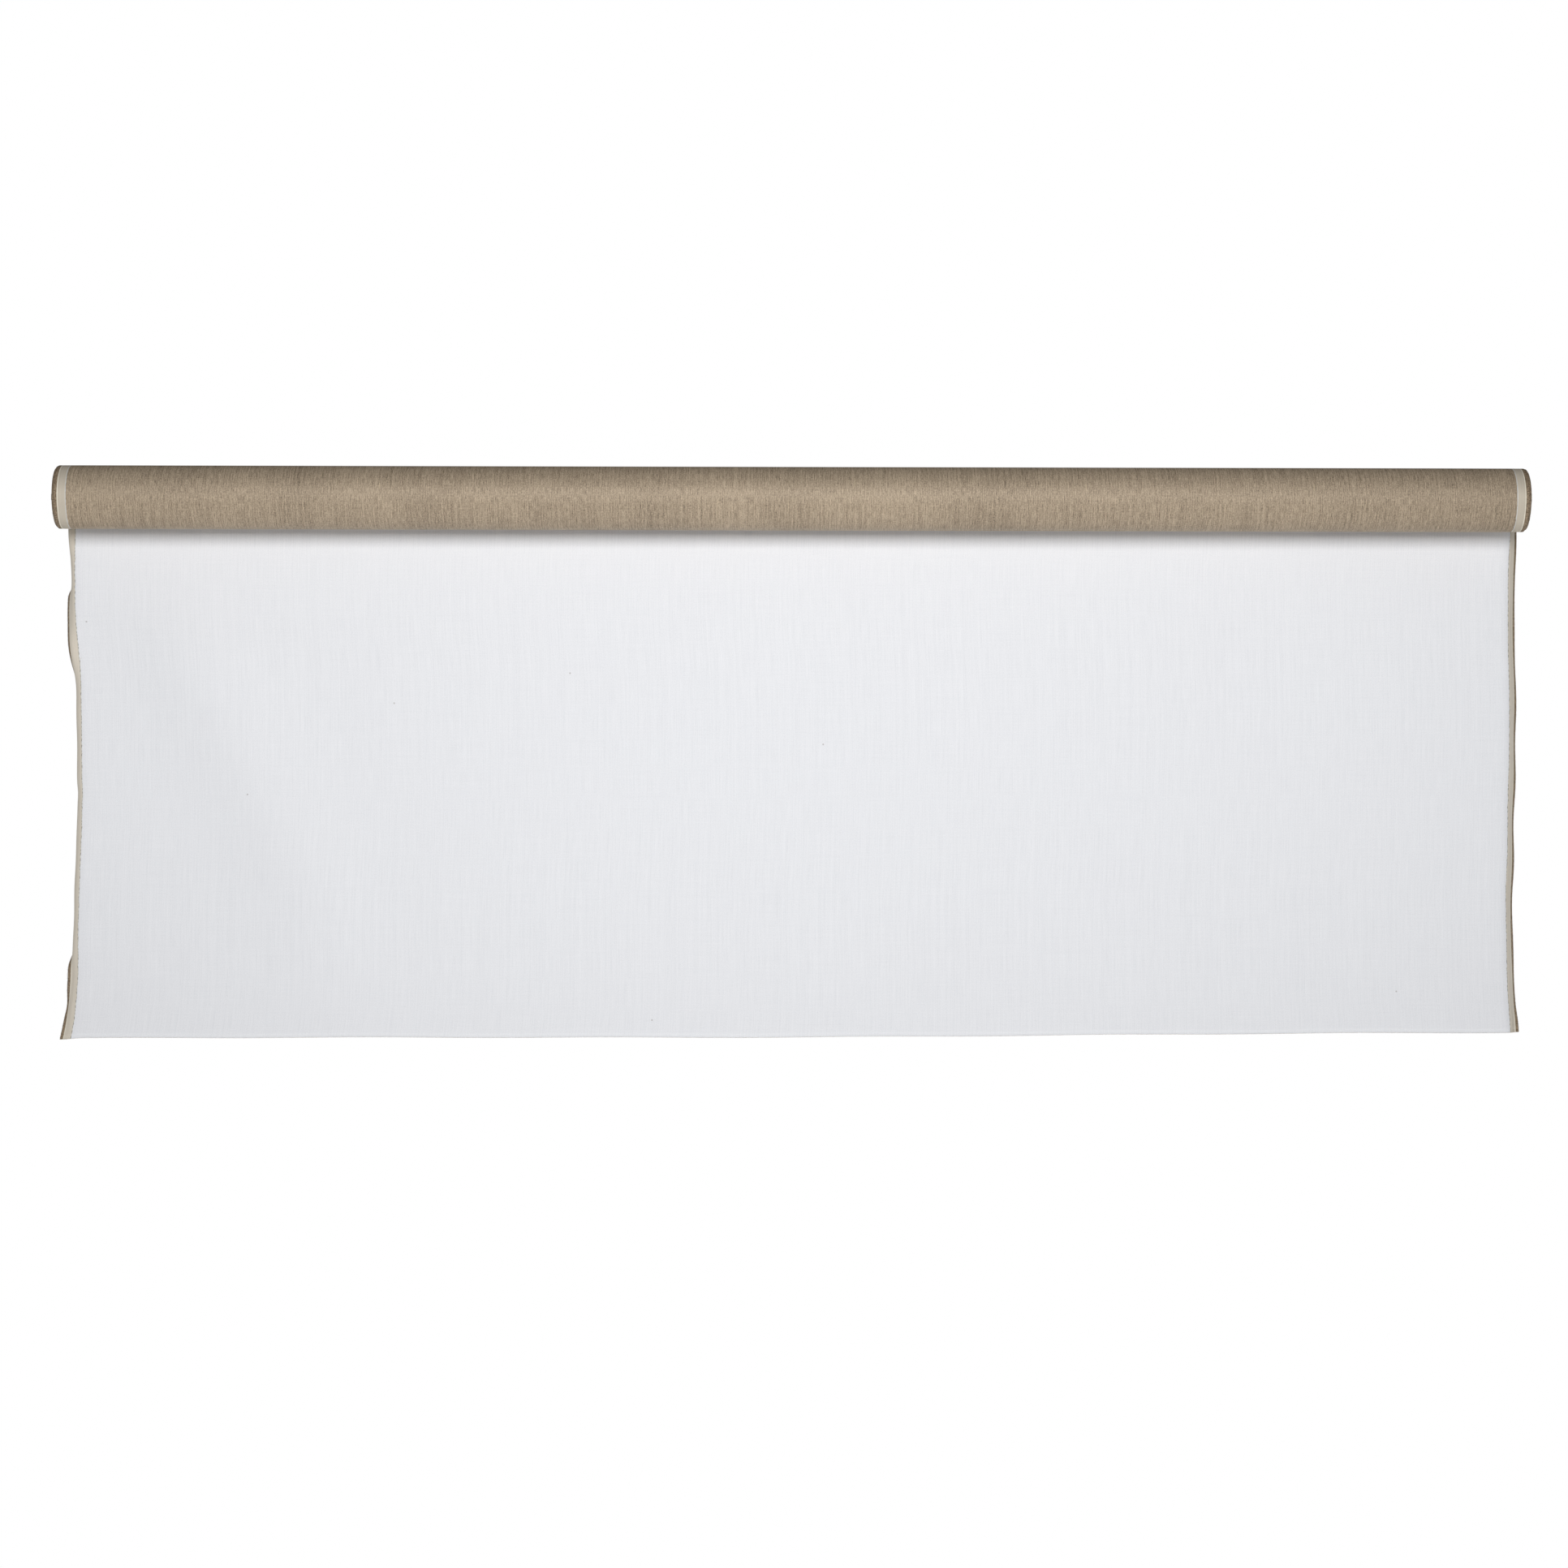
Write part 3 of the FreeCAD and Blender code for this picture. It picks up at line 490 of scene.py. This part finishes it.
def dress_cad_nodes():
    """Every CAD node that stays in the model gets the material of what it is made of."""
    pale_zinc, bright_zinc = colour_of(150, 149, 145), colour_of(214, 212, 207)
    deep_blue, worn_blue = colour_of(46, 47, 50), colour_of(104, 106, 110)
    dull_brass, rubbed_brass = colour_of(132, 96, 44), colour_of(214, 178, 104)
    steel = metal_material("zinc_plated_steel", pale_zinc, bright_zinc, 0.36, 900, 91.0)
    dark_steel = metal_material("oil_blued_steel", deep_blue, worn_blue, 0.34, 1200, 94.0)
    brass = metal_material("worn_brass", dull_brass, rubbed_brass, 0.32, 800, 97.0)
    looks = {
        "plated_steel": steel,
        "spring_steel": dark_steel,
        "brass": brass,
        "tube": paperboard_material(),
        "tape": tape_material(),
        "nylon": nylon_material(),
        "wood": wood_material(),
    }
    for part in frame["record"]["subparts"]:
        look = looks.get(part["material_slot"])
        if look is None:
            continue
        node = frame["nodes"][part["node"]]
        node.data.materials.clear()
        node.data.materials.append(look)


# ---------------------------------------------------------------------------------------------
# Cloth geometry
# ---------------------------------------------------------------------------------------------


def hang_place(depth):
    """How far behind the axis the hanging cloth's middle is, at a depth below the axis."""
    share = depth / HANG_DEPTH
    start = ROLL_RADIUS + HANG_GAP + CLOTH_THICKNESS / 2
    bow = HANG_BOW * math.sin(math.pi * share / HANG_BOW_SPAN) ** 2
    lip = LIP_TURN * smooth(HANG_DEPTH - LIP_REACH, HANG_DEPTH + LIP_REACH, depth)
    return start + bow - HANG_CURL * share**HANG_CURL_POWER + lip


def hang_path():
    """The cloth's line from where it lies on the roll, over the back of it, and down: (y, z, run)."""
    points = []
    start = ROLL_RADIUS + HANG_GAP + CLOTH_THICKNESS / 2
    for row in range(WRAP_ROWS):
        share = 1 - row / WRAP_ROWS
        angle = WRAP_ANGLE * share
        radius = start - (HANG_GAP - WRAP_GAP) * smooth(0.5, 1.0, share)
        points.append((radius * math.cos(angle), radius * math.sin(angle)))
    for row in range(HANG_ROWS + 1):
        depth = HANG_DEPTH * row / HANG_ROWS
        points.append((hang_place(depth), -depth))
    run = 0.0
    line = []
    for index, (y, z) in enumerate(points):
        if index:
            run += math.dist((y, z), points[index - 1])
        line.append((y, z, run))
    return line


def columns_across(fine_step, fine_reach, coarse_count):
    """Places across the cloth, in metres from the left selvedge: close together near both edges."""
    fine = [fine_step * index for index in range(int(fine_reach / fine_step) + 1)]
    inner = ROLL_WIDTH - 2 * fine[-1]
    middle = [fine[-1] + inner * index / coarse_count for index in range(1, coarse_count)]
    return fine + middle + [ROLL_WIDTH - place for place in reversed(fine)]


def left_primer_edge(depth):
    """Where the white face ends on the left of the hanging cloth, from the spring end of the roll."""
    at_roll = 0.0008 * (1 - smooth(0.020, 0.060, depth))
    pulled_in = 0.0038 * smooth(0.085, 0.150, depth)
    let_out = 0.0015 * smooth(0.250, 0.320, depth)
    pulled_again = 0.0020 * smooth(0.345, 0.395, depth)
    flare = 0.0018 * smooth(0.425, 0.450, depth)
    kink = 0.0006 * bump(0.240, 0.006, depth)
    late_flare = 0.0010 * smooth(0.405, 0.445, depth)
    inner = LEFT_PRIMER_START + at_roll + pulled_in - let_out + pulled_again
    return inner - flare + kink - late_flare


def right_primer_edge(depth):
    """Where the white face ends on the right of the hanging cloth."""
    at_roll = 0.0014 * (1 - smooth(0.020, 0.060, depth))
    under_roll = 0.0045 * (1 - smooth(0.0, 0.024, depth))
    swell = 0.0030 * bump(0.185, 0.062, depth)
    drawn_in = 0.0016 * smooth(0.250, 0.330, depth)
    drawn_low = 0.0020 * smooth(0.340, 0.420, depth)
    eased = 0.0010 * smooth(0.180, 0.240, depth)
    low_swell = 0.0014 * bump(0.290, 0.030, depth)
    corner = 0.0004 * smooth(0.425, 0.445, depth)
    upper = RIGHT_PRIMER_START + at_roll - under_roll + swell - drawn_in
    return upper - drawn_low + eased + low_swell - corner


def band_turn(side, depth):
    """How far the bare band has turned back from the cloth's plane, in degrees."""
    if side < 0:
        turned_back = 44 * smooth(0.020, 0.050, depth)
        upper_fold = 18 * bump(0.068, 0.020, depth)
        opened = 40 * bump(0.122, 0.020, depth)
        lower_fold = 9 * bump(0.355, 0.018, depth)
        wave = 3 * math.sin(depth * 133)
        eased = 14 * smooth(0.33, 0.37, depth)
        corner = 10 * smooth(0.40, 0.44, depth)
        turned = turned_back + upper_fold - opened + lower_fold + wave - eased - corner
        return turned * smooth(0.0, 0.020, depth)
    turned = RIGHT_BAND_TURN + 4 * math.sin(depth * 75) - 4 * smooth(0.36, 0.44, depth)
    return turned * smooth(0.0, 0.024, depth)


def strip_turn(side, depth):
    """How far the brown outer strip has turned back, in degrees: past 90 it is out of sight."""
    if side < 0:
        shown = smooth(0.070, 0.079, depth) * (1 - smooth(0.118, 0.160, depth))
        flared = smooth(0.366, 0.384, depth)
        curled_low = 30 * bump(0.412, 0.011, depth)
        opened = 8 * bump(0.290, 0.012, depth)
        turned = LEFT_STRIP_TURN - 50 * shown - 78 * flared + curled_low - opened
    else:
        wave = 5 * math.sin(depth * 96 + 1)
        turned = RIGHT_STRIP_TURN + wave - 22 * smooth(0.415, HANG_DEPTH, depth)
    return turned * smooth(0.0, 0.020, depth)


def edge_turn(side, depth, edge):
    """How far the cloth has turned back at a distance in from its selvedge, in radians."""
    band = band_turn(side, depth)
    if edge >= BAND_MIDDLE:
        share = max(0.0, (CURL_REACH - edge) / (CURL_REACH - BAND_MIDDLE))
        power = LEFT_CURL_POWER if side < 0 else RIGHT_CURL_POWER
        return math.radians(band * share**power)
    share = 1 - smooth(STRIP_WIDTH * 0.8, BAND_MIDDLE, edge)
    return math.radians(band + (strip_turn(side, depth) - band) * share)


def curl_travel(side, depth, edge):
    """Sideways and backward travel of the cloth from where it starts to curl out to edge."""
    steps = max(1, math.ceil((CURL_REACH - edge) / CURL_STEP))
    step = (CURL_REACH - edge) / steps
    out, back = 0.0, 0.0
    for index in range(steps):
        turned = edge_turn(side, depth, CURL_REACH - (index + 0.5) * step)
        out += math.cos(turned) * step
        back += math.sin(turned) * step
    return out, back


def ripple(across, depth):
    """Soft waves in the hanging cloth: it never hangs quite flat."""
    share = across / ROLL_WIDTH
    fold_place = 0.085 + 0.50 * (depth - 0.09)
    fold = FOLD_DEPTH * bump(fold_place, 0.048, across) * smooth(0.05, 0.15, depth)
    broad = 0.0014 * math.sin(across * 9.0 + depth * 3.0)
    right = 0.0016 * math.sin(across * 17.0 - depth * 7.0) * smooth(0.70, 0.95, share)
    return (broad + right - fold * (1 - smooth(0.30, 0.44, depth))) * smooth(0.004, 0.10, depth)


def bottom_shift(across):
    """How far the raw bottom edge stands above or below its middle height."""
    slant = 0.0004 + BOTTOM_SLANT * (across / ROLL_WIDTH - 0.5)
    bow = -0.0016 * bump(0.62, 0.26, across)
    corner = -0.0012 * (1 - smooth(0.0, 0.020, across))
    waver = 0.0003 * math.sin(across * 31)
    return slant + bow + corner + waver


def drop_point(across, y, z):
    """A point of the hanging cloth's middle surface, from its places across and on the path."""
    depth = max(0.0, -z)
    left_bare = left_primer_edge(depth)
    right_bare = right_primer_edge(depth)
    left_start = left_bare + curl_travel(-1, depth, BARE_WIDTH)[0]
    right_start = right_bare - curl_travel(1, depth, BARE_WIDTH)[0]
    back = 0.0
    if across < CURL_REACH:
        out, back = curl_travel(-1, depth, across)
        x = left_start - out
    elif across > ROLL_WIDTH - CURL_REACH:
        out, back = curl_travel(1, depth, ROLL_WIDTH - across)
        x = right_start + out
    else:
        share = (across - CURL_REACH) / (ROLL_WIDTH - 2 * CURL_REACH)
        x = left_start + (right_start - left_start) * share
    away = y + ripple(across, depth) + back
    height = z + bottom_shift(across) * smooth(0.20 * HANG_DEPTH, HANG_DEPTH, depth)
    return Vector((x, away, height))


def build_strip(name, rows, columns, thickness, point_at, run_at, materials):
    """A closed sheet of cloth over a grid: front face, back face and the cut edges round it."""
    mesh = bpy.data.meshes.new(name)
    maker = bmesh.new()
    cloth_uv = maker.loops.layers.uv.new("cloth")
    middle = [[point_at(row, across) for across in columns] for row in range(rows)]
    last_row, last_column = rows - 1, len(columns) - 1

    def outward(row, column):
        above = middle[max(row - 1, 0)][column]
        below = middle[min(row + 1, last_row)][column]
        left = middle[row][max(column - 1, 0)]
        right = middle[row][min(column + 1, last_column)]
        return (below - above).cross(right - left).normalized()

    sides = [[], []]
    for row in range(rows):
        fronts, backs = [], []
        for column in range(len(columns)):
            shift = outward(row, column) * (thickness / 2)
            fronts.append(maker.verts.new(middle[row][column] + shift))
            backs.append(maker.verts.new(middle[row][column] - shift))
        sides[0].append(fronts)
        sides[1].append(backs)

    def add_face(corners, places, slot):
        face = maker.faces.new(corners)
        face.material_index = slot
        face.smooth = slot < 2
        for loop, (row, column) in zip(face.loops, places):
            loop[cloth_uv].uv = (columns[column], run_at(row))

    for row in range(last_row):
        for column in range(last_column):
            places = [(row, column), (row, column + 1), (row + 1, column + 1), (row + 1, column)]
            front = [sides[0][r][c] for r, c in places]
            add_face(front[::-1], places[::-1], 0)
            back = [sides[1][r][c] for r, c in places]
            add_face(back, places, 1)
    rim = [(0, c) for c in range(last_column)] + [(r, last_column) for r in range(last_row)]
    rim += [(last_row, c) for c in range(last_column, 0, -1)]
    rim += [(r, 0) for r in range(last_row, 0, -1)]
    for index, (row, column) in enumerate(rim):
        next_row, next_column = rim[(index + 1) % len(rim)]
        places = [(row, column), (next_row, next_column), (next_row, next_column), (row, column)]
        corners = [
            sides[0][row][column],
            sides[0][next_row][next_column],
            sides[1][next_row][next_column],
            sides[1][row][column],
        ]
        add_face(corners, places, 2)
    maker.normal_update()
    maker.to_mesh(mesh)
    maker.free()
    piece = bpy.data.objects.new(name, mesh)
    bpy.context.scene.collection.objects.link(piece)
    for material in materials:
        mesh.materials.append(material)
    return piece


def build_hanging_cloth(primed, linen, cut_edge):
    """The hanging cloth, with its upper end lying on the roll; its white face looks at the room."""
    path = hang_path()
    columns = columns_across(COLUMN_STEP, CURL_REACH, COARSE_COLUMNS)
    bottom = path[-1][2]

    def point_at(row, across):
        y, z, _ = path[row]
        return drop_point(across, y, z)

    def run_at(row):
        return bottom - path[row][2]

    materials = [primed, linen, cut_edge]
    piece = build_strip(
        "hanging_cloth", len(path), columns, CLOTH_THICKNESS, point_at, run_at, materials
    )
    return piece, bottom


def wound_radius(turns):
    """The middle of the wound cloth, at a number of turns in from its outer end."""
    outer = ROLL_RADIUS - WOUND_THICKNESS / 2
    inner = WOUND_INNER + WOUND_THICKNESS / 2
    return outer + (inner - outer) * turns / WOUND_TURNS


def turn_insets(turn):
    """How far one turn's left and right selvedges stand in from the widest turn's."""
    rng = random.Random(turn * 7 + 3)
    return rng.uniform(LEAST_INSET, MOST_INSET), rng.uniform(LEAST_INSET, MOST_INSET)


def wound_insets(turns):
    """The insets of the wound cloth's left and right selvedges, at a number of turns in."""
    turn = int(turns)
    share = turns - turn
    here, following = turn_insets(turn), turn_insets(turn + 1)
    mixed = smooth(0.0, 1.0, share)
    left = here[0] + (following[0] - here[0]) * mixed
    right = here[1] + (following[1] - here[1]) * mixed
    outermost = 1 - smooth(0.85, 1.1, turns)
    lower_part = smooth(0.55, 0.72, share)
    left_shown = LEFT_SHOWN_INSET - 0.0008 * lower_part
    right_shown = RIGHT_SHOWN_INSET - 0.0004 * lower_part
    return left + (left_shown - left) * outermost, right + (right_shown - right) * outermost


def build_wound_cloth(linen, primed, cut_edge, drop_run):
    """The cloth on the tube: one long strip wound in a spiral, its linen side out."""
    rows = WOUND_TURNS * WOUND_STEPS + 1
    columns = columns_across(WOUND_COLUMN_STEP, WOUND_FINE_REACH, WOUND_COARSE_COLUMNS)
    runs = [0.0]
    for row in range(1, rows):
        runs.append(runs[-1] + wound_radius(row / WOUND_STEPS) * 2 * math.pi / WOUND_STEPS)

    def point_at(row, across):
        turns = row / WOUND_STEPS
        angle = 2 * math.pi * turns
        left_in, right_in = wound_insets(turns)
        x = ROLL_LEFT + left_in + (ROLL_WIDTH - left_in - right_in) * across / ROLL_WIDTH
        edge = min(across, ROLL_WIDTH - across)
        outermost = 1 - smooth(0.9, 1.0, turns)
        thinner = END_THINNING * (1 - smooth(0.0, END_THINNING_REACH, edge)) * outermost
        unevenness = abs(noise.noise(Vector((x * 14, turns * 5.0, 3.0))))
        lumps = LUMP_HEIGHT * unevenness * outermost
        tuck = TUCK_DEPTH * (1 - smooth(0.0, TUCK_TURNS, turns))
        radius = wound_radius(turns) - (thinner + lumps) * 0.3 - tuck
        return Vector((x, radius * math.cos(angle), radius * math.sin(angle)))

    def run_at(row):
        return drop_run + runs[row]

    # Rows run from the roll's back over its top, so its first face looks outwards.
    materials = [linen, primed, cut_edge]
    piece = build_strip("wound_cloth", rows, columns, WOUND_THICKNESS, point_at, run_at, materials)
    return piece, runs[-1]


# ---------------------------------------------------------------------------------------------
# Loose ends of thread
# ---------------------------------------------------------------------------------------------


def add_thread(maker, points, radius):
    """A thin thread through points, tapering to its tip."""
    rings = []
    for index, point in enumerate(points):
        ahead = points[min(index + 1, len(points) - 1)]
        behind = points[max(index - 1, 0)]
        along = (ahead - behind).normalized()
        side = along.orthogonal().normalized()
        other = along.cross(side)
        size = radius * (1 - 0.6 * index / (len(points) - 1))
        ring = []
        for corner in range(THREAD_CORNERS):
            angle = 2 * math.pi * corner / THREAD_CORNERS
            outward = side * math.cos(angle) + other * math.sin(angle)
            ring.append(maker.verts.new(point + outward * size))
        rings.append(ring)
    for first, second in zip(rings, rings[1:]):
        for corner in range(THREAD_CORNERS):
            following = (corner + 1) % THREAD_CORNERS
            maker.faces.new([first[corner], first[following], second[following], second[corner]])
    maker.faces.new(rings[0][::-1])
    maker.faces.new(rings[-1])


def threads_piece(name, threads, radius, material):
    """One mesh that holds many threads, each a list of points."""
    maker = bmesh.new()
    for points in threads:
        add_thread(maker, points, radius)
    mesh = bpy.data.meshes.new(name)
    maker.to_mesh(mesh)
    maker.free()
    mesh.materials.append(material)
    piece = bpy.data.objects.new(name, mesh)
    bpy.context.scene.collection.objects.link(piece)
    return piece


def hanging_fringe(material):
    """Short weft ends that stand out of both selvedges of the hanging cloth."""
    rng = random.Random(11)
    threads = []
    count = int(HANG_DEPTH / THREAD_PITCH)
    for across, inward in ((0.0, 1), (ROLL_WIDTH, -1)):
        for index in range(2, count):
            depth = HANG_DEPTH * index / count
            y, z = hang_place(depth), -depth
            edge = drop_point(across, y, z)
            within = drop_point(across + inward * 0.0006, y, z)
            out = (edge - within).normalized()
            reach = rng.uniform(0.0003, 0.0011)
            droop = Vector((0, rng.uniform(-0.0002, 0.0002), rng.uniform(-0.0004, 0.0001)))
            threads.append([within, edge + out * reach * 0.5, edge + out * reach + droop])
    return threads_piece("hanging_fringe", threads, WEFT_END_RADIUS, material)


def bottom_fringe(material):
    """Warp ends that just show along the raw bottom edge."""
    rng = random.Random(23)
    threads = []
    count = int(ROLL_WIDTH / WARP_END_SPACING)
    for index in range(3, count - 2):
        across = ROLL_WIDTH * index / count
        low = drop_point(across, hang_place(HANG_DEPTH), -HANG_DEPTH)
        high = drop_point(across, hang_place(HANG_DEPTH - 0.002), 0.002 - HANG_DEPTH)
        down = (low - high).normalized()
        reach = rng.uniform(0.0001, 0.0006)
        stray = Vector((rng.uniform(-0.0002, 0.0002), rng.uniform(-0.0001, 0.0002), 0))
        threads.append([high.lerp(low, 0.8), low + down * reach * 0.5, low + down * reach + stray])
    return threads_piece("bottom_fringe", threads, WARP_END_RADIUS, material)


def wound_fringe(material):
    """Weft ends at both ends of the roll, a little longer or shorter from thread to thread."""
    rng = random.Random(37)
    threads = []
    for step in range(WOUND_TURNS * ENDS_PER_TURN):
        turns = step / ENDS_PER_TURN
        angle = 2 * math.pi * (turns + rng.uniform(-0.3, 0.3) / ENDS_PER_TURN)
        left_in, right_in = wound_insets(turns)
        for side, base_x in ((-1, ROLL_LEFT + left_in), (1, ROLL_RIGHT - right_in)):
            reach = rng.uniform(0.0002, 0.0007)
            dip = rng.uniform(0.0, 0.0002)
            points = []
            for share in (-0.6, 0.5, 1.0):
                radius = wound_radius(turns) - WOUND_END_RADIUS - dip * max(share, 0)
                x = base_x + side * reach * share
                points.append(Vector((x, radius * math.cos(angle), radius * math.sin(angle))))
            threads.append(points)
    return threads_piece("wound_fringe", threads, WOUND_END_RADIUS, material)


def loose_hairs(material):
    """A few pale hairs that have worked out of the left selvedge of the hanging cloth."""
    rng = random.Random(5)
    threads = []
    for depth in HAIR_DEPTHS:
        base = drop_point(BARE_WIDTH + rng.uniform(-0.001, 0.001), hang_place(depth), -depth)
        base -= Vector((0, CLOTH_THICKNESS * 0.6, 0))
        heading = rng.uniform(-1.2, 1.2)
        length = rng.uniform(0.002, 0.005)
        points = []
        for step in range(HAIR_POINTS):
            share = step / (HAIR_POINTS - 1)
            across = length * share * math.cos(heading) * 0.6
            lift = 0.0008 * math.sin(math.pi * share)
            rise = length * share * math.sin(heading) - 0.0012 * share * share
            points.append(base + Vector((across, -lift, rise)))
        threads.append(points)
    return threads_piece("loose_hairs", threads, HAIR_RADIUS, material)


# ---------------------------------------------------------------------------------------------
# Studio
# ---------------------------------------------------------------------------------------------

FLOOR_HEIGHT = -2.35
FLOOR_RADIUS = 2.2
FLOOR_SIDES = 96
FLOOR_GLOW = 0.5
WORLD_COLOUR = (0.96, 0.98, 1.0, 1.0)
WORLD_FILL = 0.065

# Lights: where each stands, where it points, its width and height, and its power in watts
KEY_PLACE = (ROLL_MIDDLE, -1.95, 0.38)
KEY_AIM = (ROLL_MIDDLE, 0.0, -0.15)
KEY_SIZE = (0.95, 0.75)
KEY_POWER = 31.2
UNDER_PLACE = (ROLL_MIDDLE, -1.2, -1.5)
UNDER_SIZE = (1.2, 1.6)
UNDER_POWER = 6.8
BACK_PLACE = (ROLL_MIDDLE, 2.2, -0.5)
BACK_AIM = (ROLL_MIDDLE, 0.0, -0.2)
BACK_SIZE = (1.4, 1.2)
BACK_POWER = 26
LEFT_END_PLACE = (-1.4, 1.1, -0.4)
RIGHT_END_PLACE = (2.6, 1.1, -0.4)
LEFT_END_AIM = (ROLL_LEFT, 0.0, -0.1)
RIGHT_END_AIM = (ROLL_RIGHT, 0.0, -0.1)
END_SIZE = (0.6, 0.8)
LEFT_END_POWER = 8
RIGHT_END_POWER = 9
LEFT_PLACE = (-1.2, -0.22, -0.25)
RIGHT_PLACE = (2.4, -0.22, -0.25)
SIDE_AIM = (ROLL_MIDDLE, 0.0, -0.24)
SIDE_SIZE = (0.5, 1.0)
LEFT_POWER = 2.2
RIGHT_POWER = 2.8

CAMERA_DISTANCE = 2.590
CAMERA_BELOW_AXIS = 0.2329
CAMERA_LEFT_OF_MIDDLE = 0.0056
CAMERA_ROLL = math.radians(0.132)
CAMERA_SENSOR = 0.036
VIEW_WIDTH = 1.280884
FIELD_OF_VIEW = 2 * math.atan(VIEW_WIDTH / 2 / CAMERA_DISTANCE)


def build_floor():
    """A round pale floor far below the blind."""
    maker = bmesh.new()
    bmesh.ops.create_circle(maker, cap_ends=True, segments=FLOOR_SIDES, radius=FLOOR_RADIUS)
    mesh = bpy.data.meshes.new("studio_floor")
    maker.to_mesh(mesh)
    maker.free()
    floor = bpy.data.objects.new("studio_floor", mesh)
    floor.location = (ROLL_MIDDLE, 0.0, FLOOR_HEIGHT)
    bpy.context.scene.collection.objects.link(floor)
    nodes = Nodes("pale_floor")
    place = nodes.add("ShaderNodeTexCoord").outputs["Object"]
    cloud = nodes.noise(place, (2, 2, 2), detail=3, seed=99.0)
    pale = nodes.mix(cloud, colour_of(236, 236, 235), colour_of(246, 246, 245))
    nodes.surface(pale, 0.7)
    nodes.link(pale, nodes.shader.inputs["Emission Color"])
    nodes.shader.inputs["Emission Strength"].default_value = FLOOR_GLOW
    mesh.materials.append(nodes.material)


def build_light(name, place, aim, size, power):
    """A white softbox of size (width, height), which the camera doesn't see."""
    data = bpy.data.lights.new(name, "AREA")
    data.shape = "RECTANGLE"
    data.size, data.size_y = size
    data.energy = power
    light = bpy.data.objects.new(name, data)
    light.location = place
    light.rotation_euler = (Vector(aim) - Vector(place)).to_track_quat("-Z", "Y").to_euler()
    light.visible_camera = False
    bpy.context.scene.collection.objects.link(light)


def build_world():
    """A dim even light from all round, behind a plain white backdrop."""
    world = bpy.data.worlds.new("studio")
    bpy.context.scene.world = world
    world.use_nodes = True
    tree = world.node_tree
    fill = tree.nodes["Background"]
    fill.inputs["Color"].default_value = WORLD_COLOUR
    fill.inputs["Strength"].default_value = WORLD_FILL
    backdrop = tree.nodes.new("ShaderNodeBackground")
    backdrop.inputs["Color"].default_value = (1.0, 1.0, 1.0, 1.0)
    backdrop.inputs["Strength"].default_value = 1.0
    rays = tree.nodes.new("ShaderNodeLightPath")
    choice = tree.nodes.new("ShaderNodeMixShader")
    tree.links.new(rays.outputs["Is Camera Ray"], choice.inputs[0])
    tree.links.new(fill.outputs[0], choice.inputs[1])
    tree.links.new(backdrop.outputs[0], choice.inputs[2])
    tree.links.new(choice.outputs[0], tree.nodes["World Output"].inputs["Surface"])


def build_camera():
    """The camera at the photograph's viewing angle: level, in front, a little below the axis."""
    data = bpy.data.cameras.new("camera")
    data.sensor_width = CAMERA_SENSOR * 1000
    data.angle = FIELD_OF_VIEW
    data.clip_end = 50
    camera = bpy.data.objects.new("camera", data)
    camera.location = (
        ROLL_MIDDLE - CAMERA_LEFT_OF_MIDDLE,
        -CAMERA_DISTANCE,
        -CAMERA_BELOW_AXIS,
    )
    level = Matrix.Rotation(math.pi / 2, 4, "X")
    tilt = Matrix.Rotation(-CAMERA_ROLL, 4, "Y")
    camera.rotation_euler = (tilt @ level).to_euler()
    bpy.context.scene.collection.objects.link(camera)
    bpy.context.scene.camera = camera


def build_studio():
    """The camera, the backdrop, the floor and the lights."""
    build_camera()
    build_world()
    build_floor()
    build_light("key_softbox", KEY_PLACE, KEY_AIM, KEY_SIZE, KEY_POWER)
    build_light("under_fill", UNDER_PLACE, KEY_AIM, UNDER_SIZE, UNDER_POWER)
    build_light("back_fill", BACK_PLACE, BACK_AIM, BACK_SIZE, BACK_POWER)
    build_light("left_end_fill", LEFT_END_PLACE, LEFT_END_AIM, END_SIZE, LEFT_END_POWER)
    build_light("right_end_fill", RIGHT_END_PLACE, RIGHT_END_AIM, END_SIZE, RIGHT_END_POWER)
    build_light("left_fill", LEFT_PLACE, SIDE_AIM, SIDE_SIZE, LEFT_POWER)
    build_light("right_fill", RIGHT_PLACE, SIDE_AIM, SIDE_SIZE, RIGHT_POWER)
    bpy.context.scene.view_settings.view_transform = "Standard"


# ---------------------------------------------------------------------------------------------
# The object
# ---------------------------------------------------------------------------------------------


def build_cloth():
    """Both sheets of cloth with their loose threads; the wound cloth and its ends turn with the
    roller.
    """
    linen = linen_material()
    primed = primed_material()
    cut_edge = cut_edge_material()
    dark_flax, light_flax = colour_of(84, 68, 50), colour_of(176, 154, 124)
    dark_hair, light_hair = colour_of(190, 178, 152), colour_of(232, 224, 204)
    brown_thread = thread_material("flax_ends", dark_flax, light_flax, 43.0)
    pale_thread = thread_material("pale_hair", dark_hair, light_hair, 47.0)

    hanging, drop_run = build_hanging_cloth(primed, linen, cut_edge)
    wound, wound_run = build_wound_cloth(linen, primed, cut_edge, drop_run)
    side_fringe = hanging_fringe(brown_thread)
    low_fringe = bottom_fringe(pale_thread)
    hairs = loose_hairs(pale_thread)
    roll_fringe = wound_fringe(brown_thread)

    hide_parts("cloth_drop", "cloth_tail")
    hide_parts("cloth_roll")
    for piece in (hanging, side_fringe, low_fringe, hairs):
        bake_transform(piece)
    for piece in (wound, roll_fringe):
        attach(piece, "roller")


dress_cad_nodes()
build_cloth()
build_studio()
